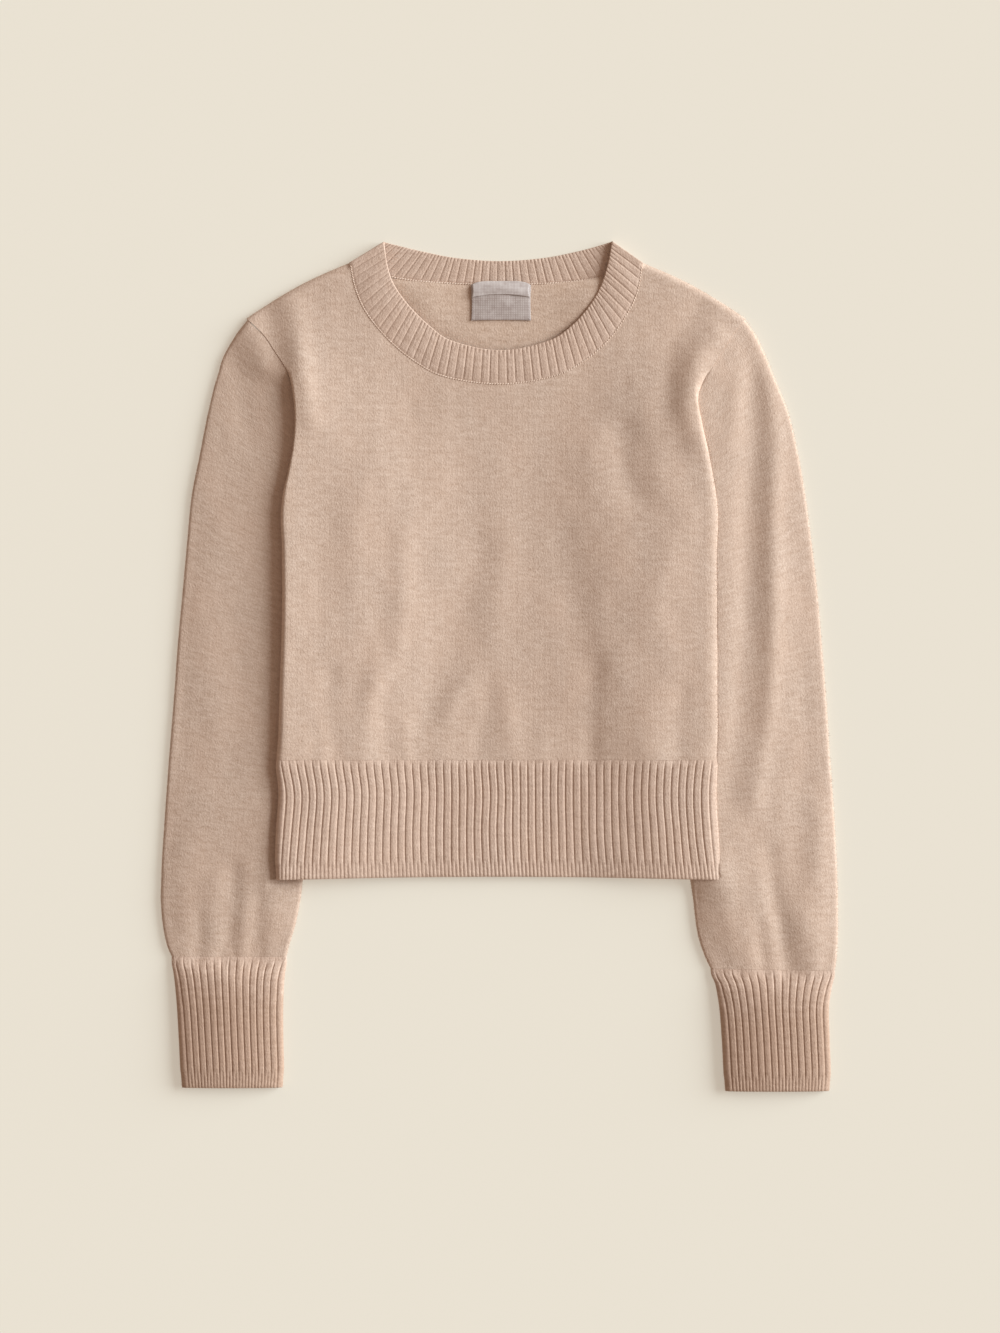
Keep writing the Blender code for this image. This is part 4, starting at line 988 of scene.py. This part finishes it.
# Nap: loose fibre ends that stand off the cloth's edges, drawn thicker than real ones so that they show
napTree, napIn, napOut = newTree("loose_nap", (
    ("Length", "Float", 2.0 * mm), ("Thickness", "Float", 0.09 * mm), ("Spread", "Float", 0.9),
    ("Seed", "Int", 8), ("Finish", "Material", None)))
heading = addNode(napTree, "GeometryNodeInputNamedAttribute", {"Name": "napOut"},
                  data_type="FLOAT_VECTOR").outputs["Attribute"]
stray = addNode(napTree, "FunctionNodeRandomValue", {
    0: (-1.0, -1.0, -0.5), 1: (1.0, 1.0, 0.9), "Seed": napIn.outputs["Seed"]},
    data_type="FLOAT_VECTOR").outputs[0]
stray = addNode(napTree, "ShaderNodeVectorMath", {
    0: stray, "Scale": napIn.outputs["Spread"]}, operation="SCALE").outputs[0]
heading = addNode(napTree, "ShaderNodeVectorMath", {0: heading, 1: stray}, operation="ADD").outputs[0]
stands = addNode(napTree, "FunctionNodeAlignRotationToVector", {"Vector": heading}, axis="Z")
fibre = addNode(napTree, "GeometryNodeMeshCone", {
    "Vertices": 3, "Radius Top": 0.0, "Radius Bottom": napIn.outputs["Thickness"],
    "Depth": napIn.outputs["Length"]}, fill_type="NGON").outputs["Mesh"]
longer = addNode(napTree, "FunctionNodeRandomValue", {
    2: 0.35, 3: 1.25, "Seed": napIn.outputs["Seed"]}, data_type="FLOAT").outputs[1]
fibres = addNode(napTree, "GeometryNodeInstanceOnPoints", {
    "Points": napIn.outputs["Geometry"], "Instance": fibre,
    "Rotation": stands.outputs[0], "Scale": longer})
endTree(napTree, fibres.outputs[0], napIn, napOut)


def newMaterial(name, roughness, **constants):
    material = bpy.data.materials.new(name)
    material.use_nodes = True
    tree = material.node_tree
    surface = tree.nodes["Principled BSDF"]
    surface.inputs["Roughness"].default_value = roughness
    for key, value in constants.items():
        surface.inputs[key].default_value = value
    return material, tree, surface


def setStops(ramp, stops):
    # stops are a ramp's positions with their sRGB colours
    for element, (position, code) in zip(ramp.color_ramp.elements, stops):
        element.position = position
        element.color = hexColour(code)
    return ramp.outputs[0]


bandScale = 0.3142           # at this scale a wave texture has one band to each unit


def jerseyMaterial(name, settings):
    # Brushed wool and cotton jersey: soft matt cloth, streaked along its wales where fibres
    # of several shades are spun together, with a faint bloom of nap at its edges.
    material, tree, surface = newMaterial(name, 0.92, **{
        "Sheen Weight": 0.06, "Sheen Roughness": 0.6, "Sheen Tint": hexColour("f3e6d8"),
        "Specular IOR Level": 0.25})
    coords = addNode(tree, "ShaderNodeUVMap", uv_map="clothMap").outputs[0]

    # a yarn's flecks (real wales are 1.5 mm apart), yarn that changes shade along the courses,
    # uneven dyeing, and dark neps, which are drawn coarser than the fibres that make them
    patterns = []
    for width, length, detail in ((1.3, 1.9, 3), (9, 3.6, 4), (42, 60, 2), (1.2, 2.0, 1)):
        scaled = addNode(tree, "ShaderNodeMapping", {
            "Vector": coords, "Scale": (1 / (width * mm), 1 / (length * mm), 1)})
        patterns.append(addNode(tree, "ShaderNodeTexNoise", {
            "Vector": scaled.outputs[0], "Scale": 1.0, "Detail": detail, "Roughness": 0.6}).outputs[0])
    streaks, cloudy, broad, fleck = patterns
    flecky, mottled = (
        setStops(addNode(tree, "ShaderNodeValToRGB", {"Fac": pattern}),
                 ((low, settings["dark"]), (high, settings["light"])))
        for pattern, low, high in ((streaks, 0.30, 0.70), (cloudy, 0.32, 0.68)))
    shown = addNode(tree, "ShaderNodeMix", {0: 0.5, 6: flecky, 7: mottled}, data_type="RGBA").outputs[2]
    for pattern, low, high, word in ((broad, 0.3, 0.7, "warm"), (fleck, 0.62, 0.78, "fleck")):
        amount = addNode(tree, "ShaderNodeMapRange", {"Value": pattern, 1: low, 2: high, 3: 0.0, 4: 0.30})
        shown = addNode(tree, "ShaderNodeMix", {
            0: amount.outputs[0], 6: shown, 7: hexColour(settings[word])}, data_type="RGBA").outputs[2]
    if "paintedShade" in settings:
        # painted shade: a cuff's colour is multiplied darker from its seam down, standing in for the shade
        # on the ribbed cuff
        down = addNode(tree, "ShaderNodeSeparateXYZ", {0: coords}).outputs[1]
        uneven = addNode(tree, "ShaderNodeMath", {
            0: cloudy, 1: 0.024, 2: down}, operation="MULTIPLY_ADD").outputs[0]
        share = addNode(tree, "ShaderNodeMapRange", {
            "Value": uneven, 1: 0.010, 2: -0.030, 3: 0.0, 4: 1.0}).outputs[0]
        shown = addNode(tree, "ShaderNodeMix", {0: share, 6: shown, 7: hexColour(settings["paintedShade"])},
                        data_type="RGBA", blend_type="MULTIPLY").outputs[2]
    tree.links.new(shown, surface.inputs["Base Color"])
    # raised wales, drawn coarser and fainter than the real 1.5 mm, which is too fine to show
    scaled = addNode(tree, "ShaderNodeMapping", {
        "Vector": coords, "Scale": (1 / settings["wale"], 1 / settings["wale"], 1)})
    wave = addNode(tree, "ShaderNodeTexWave", {
        "Vector": scaled.outputs[0], "Scale": bandScale, "Distortion": 1.6, "Detail": 1.0,
        "Detail Scale": 0.6}, wave_type="BANDS", bands_direction="X")
    height = 0.0
    for pattern, high in ((streaks, settings["fuzz"]), (wave.outputs[1], settings["waleRaise"]),
                          (cloudy, settings["pill"])):
        height = addNode(tree, "ShaderNodeMath", {
            0: pattern, 1: high, 2: height}, operation="MULTIPLY_ADD").outputs[0]
    bump = addNode(tree, "ShaderNodeBump", {"Strength": 0.55, "Distance": 0.001, "Height": height})
    tree.links.new(bump.outputs[0], surface.inputs["Normal"])
    return material


jersey = {"dark": "b59883", "light": "d8bfac", "warm": "cdab93", "fleck": "8e6d57",
          "wale": 4.4 * mm, "waleRaise": 0.05, "fuzz": 0.7, "pill": 0.5}
ribbed = {"dark": "b29480", "light": "d4b9a6", "warm": "caa891", "fleck": "866550",
          "wale": 3.0 * mm, "waleRaise": 0.10, "fuzz": 0.8, "pill": 0.4}
# painted shade: the left sleeve's knit is painted a little darker for the shade on that sleeve, and the
# back, which shows its purl side inside the neck, is painted a touch darker for the shade there
leftSleevePaintedShade = dict(jersey, dark="b0937e", light="d2b9a6", warm="c7a58e")
reverseWithPaintedShade = dict(jersey, dark="b3957f", light="d9bfab", warm="cba98f")
jerseyCloth = jerseyMaterial("brushed_oatmeal_jersey", jersey)
reverseShadedCloth = jerseyMaterial("oatmeal_jersey_reverse_painted_shade", reverseWithPaintedShade)
ribCloth = jerseyMaterial("oatmeal_rib_knit", ribbed)
# the cuffs' rib knit, with painted shade darkening it below the seam
cuffShadedCloth = jerseyMaterial("oatmeal_cuff_rib_knit_painted_shade", dict(ribbed, paintedShade="e7e0da"))


def wovenMaterial(name, base, other, thread, roughness, sheen, bumpAmount):
    # woven damask label: fine even threads with a dull silky gleam
    material, tree, surface = newMaterial(
        name, roughness, **{"Sheen Weight": sheen, "Specular IOR Level": 0.4})
    coords = addNode(tree, "ShaderNodeUVMap", uv_map="clothMap").outputs[0]
    scaled = addNode(tree, "ShaderNodeMapping", {"Vector": coords, "Scale": (1 / thread, 1 / thread, 1)})
    warp, weft = (
        addNode(tree, "ShaderNodeTexWave", {
            "Vector": scaled.outputs[0], "Scale": bandScale, "Distortion": 0.4},
            wave_type="BANDS", bands_direction=direction).outputs[1] for direction in ("X", "Y"))
    weave = addNode(tree, "ShaderNodeMath", {0: warp, 1: weft}, operation="MULTIPLY").outputs[0]
    cloud = addNode(tree, "ShaderNodeTexNoise", {
        "Vector": coords, "Scale": 1 / (5 * mm), "Detail": 2.0}).outputs[0]
    tone = addNode(tree, "ShaderNodeMath", {0: weave, 1: 0.4, 2: cloud}, operation="MULTIPLY_ADD")
    shown = setStops(addNode(tree, "ShaderNodeValToRGB", {"Fac": tone.outputs[0]}),
                     ((0.35, base), (0.85, other)))
    tree.links.new(shown, surface.inputs["Base Color"])
    bump = addNode(tree, "ShaderNodeBump", {"Strength": bumpAmount, "Distance": 0.0004, "Height": weave})
    tree.links.new(bump.outputs[0], surface.inputs["Normal"])
    return material


def yarnMaterial(name, base, other):
    # a plied yarn or thread: matt, and uneven in shade along its length
    material, tree, surface = newMaterial(name, 0.85, **{"Sheen Weight": 0.1, "Specular IOR Level": 0.3})
    coords = addNode(tree, "ShaderNodeTexCoord").outputs["Object"]
    shade = addNode(tree, "ShaderNodeTexNoise", {
        "Vector": coords, "Scale": 1 / (2.4 * mm), "Detail": 2.0}).outputs[0]
    shown = setStops(addNode(tree, "ShaderNodeValToRGB", {"Fac": shade}), ((0.35, base), (0.70, other)))
    tree.links.new(shown, surface.inputs["Base Color"])
    bump = addNode(tree, "ShaderNodeBump", {"Strength": 0.3, "Distance": 0.0003, "Height": shade})
    tree.links.new(bump.outputs[0], surface.inputs["Normal"])
    return material


labelCloth = wovenMaterial("woven_grey_label", "a08e86", "beb0a8", 1.4 * mm, 0.6, 0.1, 0.3)
satinCloth = wovenMaterial("satin_size_label", "ab9b94", "cdc1ba", 1.2 * mm, 0.38, 0.2, 0.15)

print("ribs")
ribHeights = {hemFront: 0.80, hemBack: 0.80, cuffs[left]: 0.85, cuffs[right]: 0.85, neck: 0.44}
for piece, high in ribHeights.items():
    runTree(piece, ribTree, {
        "Rib Height": high * mm, "Fine Height": 0.4 * mm, "Roundness": 3.6,
        "Finish": cuffShadedCloth if piece in cuffs.values() else ribCloth})
for piece in (front, sleeves[right]):
    piece.data.materials.append(jerseyCloth)
# the left sleeve's jersey is painted darker, as painted shade
sleeves[left].data.materials.append(jerseyMaterial("oatmeal_jersey_painted_shade", leftSleevePaintedShade))
# the back's purl side, its colours painted a touch darker as painted shade inside the neck
back.data.materials.append(reverseShadedCloth)

print("labels")
mainLabel = makeLabel("label_main_woven", mainShape)
smallLabel = makeLabel("label_small_satin", smallShape)
mainLabel.data.materials.append(labelCloth)
smallLabel.data.materials.append(satinCloth)

print("linking and label stitches")


def makePath(name, stretches, out=None):
    # a mesh of edges along each stretch, or of loose points with a heading each
    mesh = bpy.data.meshes.new(name)
    starts = np.concatenate([[0], np.cumsum([len(stretch) for stretch in stretches])])
    edges = [(k, k + 1) for first, last in zip(starts, starts[1:]) for k in range(first, last - 1)]
    mesh.from_pydata(np.concatenate(stretches), edges if out is None else [], [])
    if out is not None:
        heads = mesh.attributes.new("napOut", "FLOAT_VECTOR", "POINT")
        heads.data.foreach_set("vector", np.concatenate(out).reshape(-1))
    piece = bpy.data.objects.new(name, mesh)
    scene.collection.objects.link(piece)
    return piece


linkYarn = yarnMaterial("oatmeal_linking_yarn", "c3a691", "dcc4b1")
labelThread = yarnMaterial("grey_label_thread", "a59692", "c6bab5")
seamFront = curveAt(neckFront[:, :2], np.linspace(0.25, len(neckFront) - 1.25, 240))
seamBack = curveAt(neckBack[:, :2], np.linspace(0.6, len(neckBack) - 1.6, 160))
frontPath = np.column_stack([seamFront, bodyTop(*seamFront.T) + 0.02 * mm])
backPath = np.column_stack([seamBack, cloth["wall"] + 0.15 * mm + neckRise(*seamBack.T)])
linking = runTree(makePath("linking_neckline", [frontPath, backPath]), linkTree, {
    "Spacing": 2.1 * mm, "Size": (2.5 * mm, 1.2 * mm, 0.9 * mm), "Turn": 0.45,
    "Seed": 5, "Finish": linkYarn})

width, height, middleY = (mainShape[word] for word in ("width", "height", "y"))
inset = 1.4 * mm
sewnY = np.linspace(middleY - height / 2 + inset, middleY + height / 2 - inset, 24)
sewn = []
for sideways in (-1, 1):
    sewnX = label["x"] + sideways * (width / 2 - inset) + sewnY * 0
    sewnZ = cloth["wall"] + neckRise(sewnX, sewnY) + label["wall"] + 0.75 * mm
    sewn.append(np.stack([sewnX, sewnY, sewnZ], -1))
labelSewing = runTree(makePath("label_stitches", sewn), linkTree, {
    "Spacing": 2.2 * mm, "Size": (1.5 * mm, 0.4 * mm, 0.35 * mm), "Turn": 0.2,
    "Seed": 6, "Finish": labelThread})

print("nap along the edges")
nap = {
    "each": 0.26 * mm,
    "seed": 77,
    "belowFrom": 15,         # a sleeve's inner edge shows from this section on, below the body
    "sleeve": (2.3 * mm, 3.9 * mm),          # heights that the fibres stand at
    "cuff": (2.3 * mm, 4.2 * mm),
    "side": (cloth["lift"] + 3.4 * mm, cloth["lift"] + 5.6 * mm),
    "shoulder": (2.0 * mm, 5.4 * mm),
}
napRandom = np.random.RandomState(nap["seed"])
napRoots, napHeads = [], []


def addNap(points, heights, flip):
    # loose fibres along a line of x and y, pointing away from the cloth on one side of it
    spans = np.linalg.norm(np.diff(points, axis=0), axis=-1)
    length = np.concatenate([[0], np.cumsum(spans)])
    at = np.arange(0, length[-1], nap["each"]) + napRandom.uniform(-0.2, 0.2) * mm
    x, y = np.interp(at, length, points[:, 0]), np.interp(at, length, points[:, 1])
    ways = np.stack([np.gradient(y), -np.gradient(x)], -1)
    ways = flip * ways / np.linalg.norm(ways, axis=-1, keepdims=True)
    inward = napRandom.uniform(0.2, 1.3, len(at)) * mm
    low, high = heights
    height = low + (high - low) * napRandom.rand(len(at))
    napRoots.append(np.stack([x - ways[:, 0] * inward, y - ways[:, 1] * inward, height], -1))
    napHeads.append(np.stack([ways[:, 0], ways[:, 1], x * 0], -1))


for side in (left, right):
    outerEdge = sleeveSections[side][:, :2]
    addNap(curveAt(outerEdge, np.linspace(0, len(outerEdge) - 1, 300)), nap["sleeve"], -side)
    below = sleeveSections[side][nap["belowFrom"]:, 2:]
    addNap(curveAt(below, np.linspace(0, len(below) - 1, 60)), nap["sleeve"], side)
    cuffLines = cuffEdges[side]
    down = np.linspace(cuffLines[0, 0], cuffLines[-1, 0], 60)
    for column, way in ((1, 1), (2, -1)):
        addNap(np.stack([tableAt(cuffLines, column, down), down], -1), nap["cuff"], way)
    up = np.linspace(bodyEdges[0, 0], panel["rollY"], 200)
    addNap(np.stack([bodyEdge(side, up), up], -1), nap["side"], side)
    addNap(shoulderLine(side, np.linspace(0.02, 1, 80)), nap["shoulder"], -side)
napFibre = yarnMaterial("loose_oatmeal_fibre", "c4a893", "dcc6b4")
loose = runTree(makePath("nap_edges", napRoots, napHeads), napTree, {
    "Length": 2.0 * mm, "Thickness": 0.09 * mm, "Spread": 0.9, "Seed": 8, "Finish": napFibre})

print("frame calls")
standsFor = {
    front: "front_panel", back: "back_panel", hemFront: "front_hem_rib", hemBack: "back_hem_rib",
    sleeves[left]: "sleeve_left", sleeves[right]: "sleeve_right", cuffs[left]: "cuff_left",
    cuffs[right]: "cuff_right", neck: "neckband", mainLabel: "label_main", smallLabel: "label_small"}
for piece, node in standsFor.items():
    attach(piece, "root")
    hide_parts(node)
for piece, slot in ((linking, "knit"), (loose, "knit"), (labelSewing, "label")):
    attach(piece, "root")

print("floor, lights and camera")
bpy.ops.mesh.primitive_plane_add(size=6.0, location=(0, 0, -0.0003))
floor = bpy.context.object
floor.name = "pale_floor"
# matt cream paper: an even pale ground without a gleam
floorMaterial = newMaterial("matt_cream_paper", 0.9, **{
    "Specular IOR Level": 0.2, "Base Color": hexColour("aea89c"),
    "Emission Color": hexColour("ece3d3"), "Emission Strength": 0.47})[0]
floor.data.materials.append(floorMaterial)
floor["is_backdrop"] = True

world = bpy.data.worlds.new("studio")
world.use_nodes = True
background = world.node_tree.nodes["Background"]
background.inputs["Color"].default_value = hexColour("ffe7d6")
background.inputs["Strength"].default_value = 0.39
scene.world = world
sunlight = {"from": (1.0, 0.30, 0.40), "strength": 6.6, "softness": 44, "colour": "e8f6ff"}
lightData = bpy.data.lights.new("broad_soft_light", "SUN")
lightData.energy, lightData.angle = sunlight["strength"], math.radians(sunlight["softness"])
lightData.color = hexColour(sunlight["colour"])[:3]
light = bpy.data.objects.new("broad_soft_light", lightData)
light.rotation_euler = (-Vector(sunlight["from"])).to_track_quat("-Z", "Y").to_euler()
scene.collection.objects.link(light)

view = {"lens": 85, "sensor": 36, "middle": (0.0004, -0.0004), "height": 0.008, "covers": 1.0664}
cameraData = bpy.data.cameras.new("overhead")
cameraData.lens, cameraData.sensor_width = view["lens"], view["sensor"]
camera = bpy.data.objects.new("overhead", cameraData)
# the frame's long side covers this many metres at the height of the cloth
camera.location = (*view["middle"], view["covers"] * view["lens"] / view["sensor"] + view["height"])
scene.collection.objects.link(camera)
scene.camera = camera
scene.view_settings.view_transform = "Standard"

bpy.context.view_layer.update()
triangles = {piece.name: sum(len(face.vertices) - 2 for face in piece.data.polygons)
             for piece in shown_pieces() if piece.type == "MESH"}
print("triangles", sum(triangles.values()), triangles)
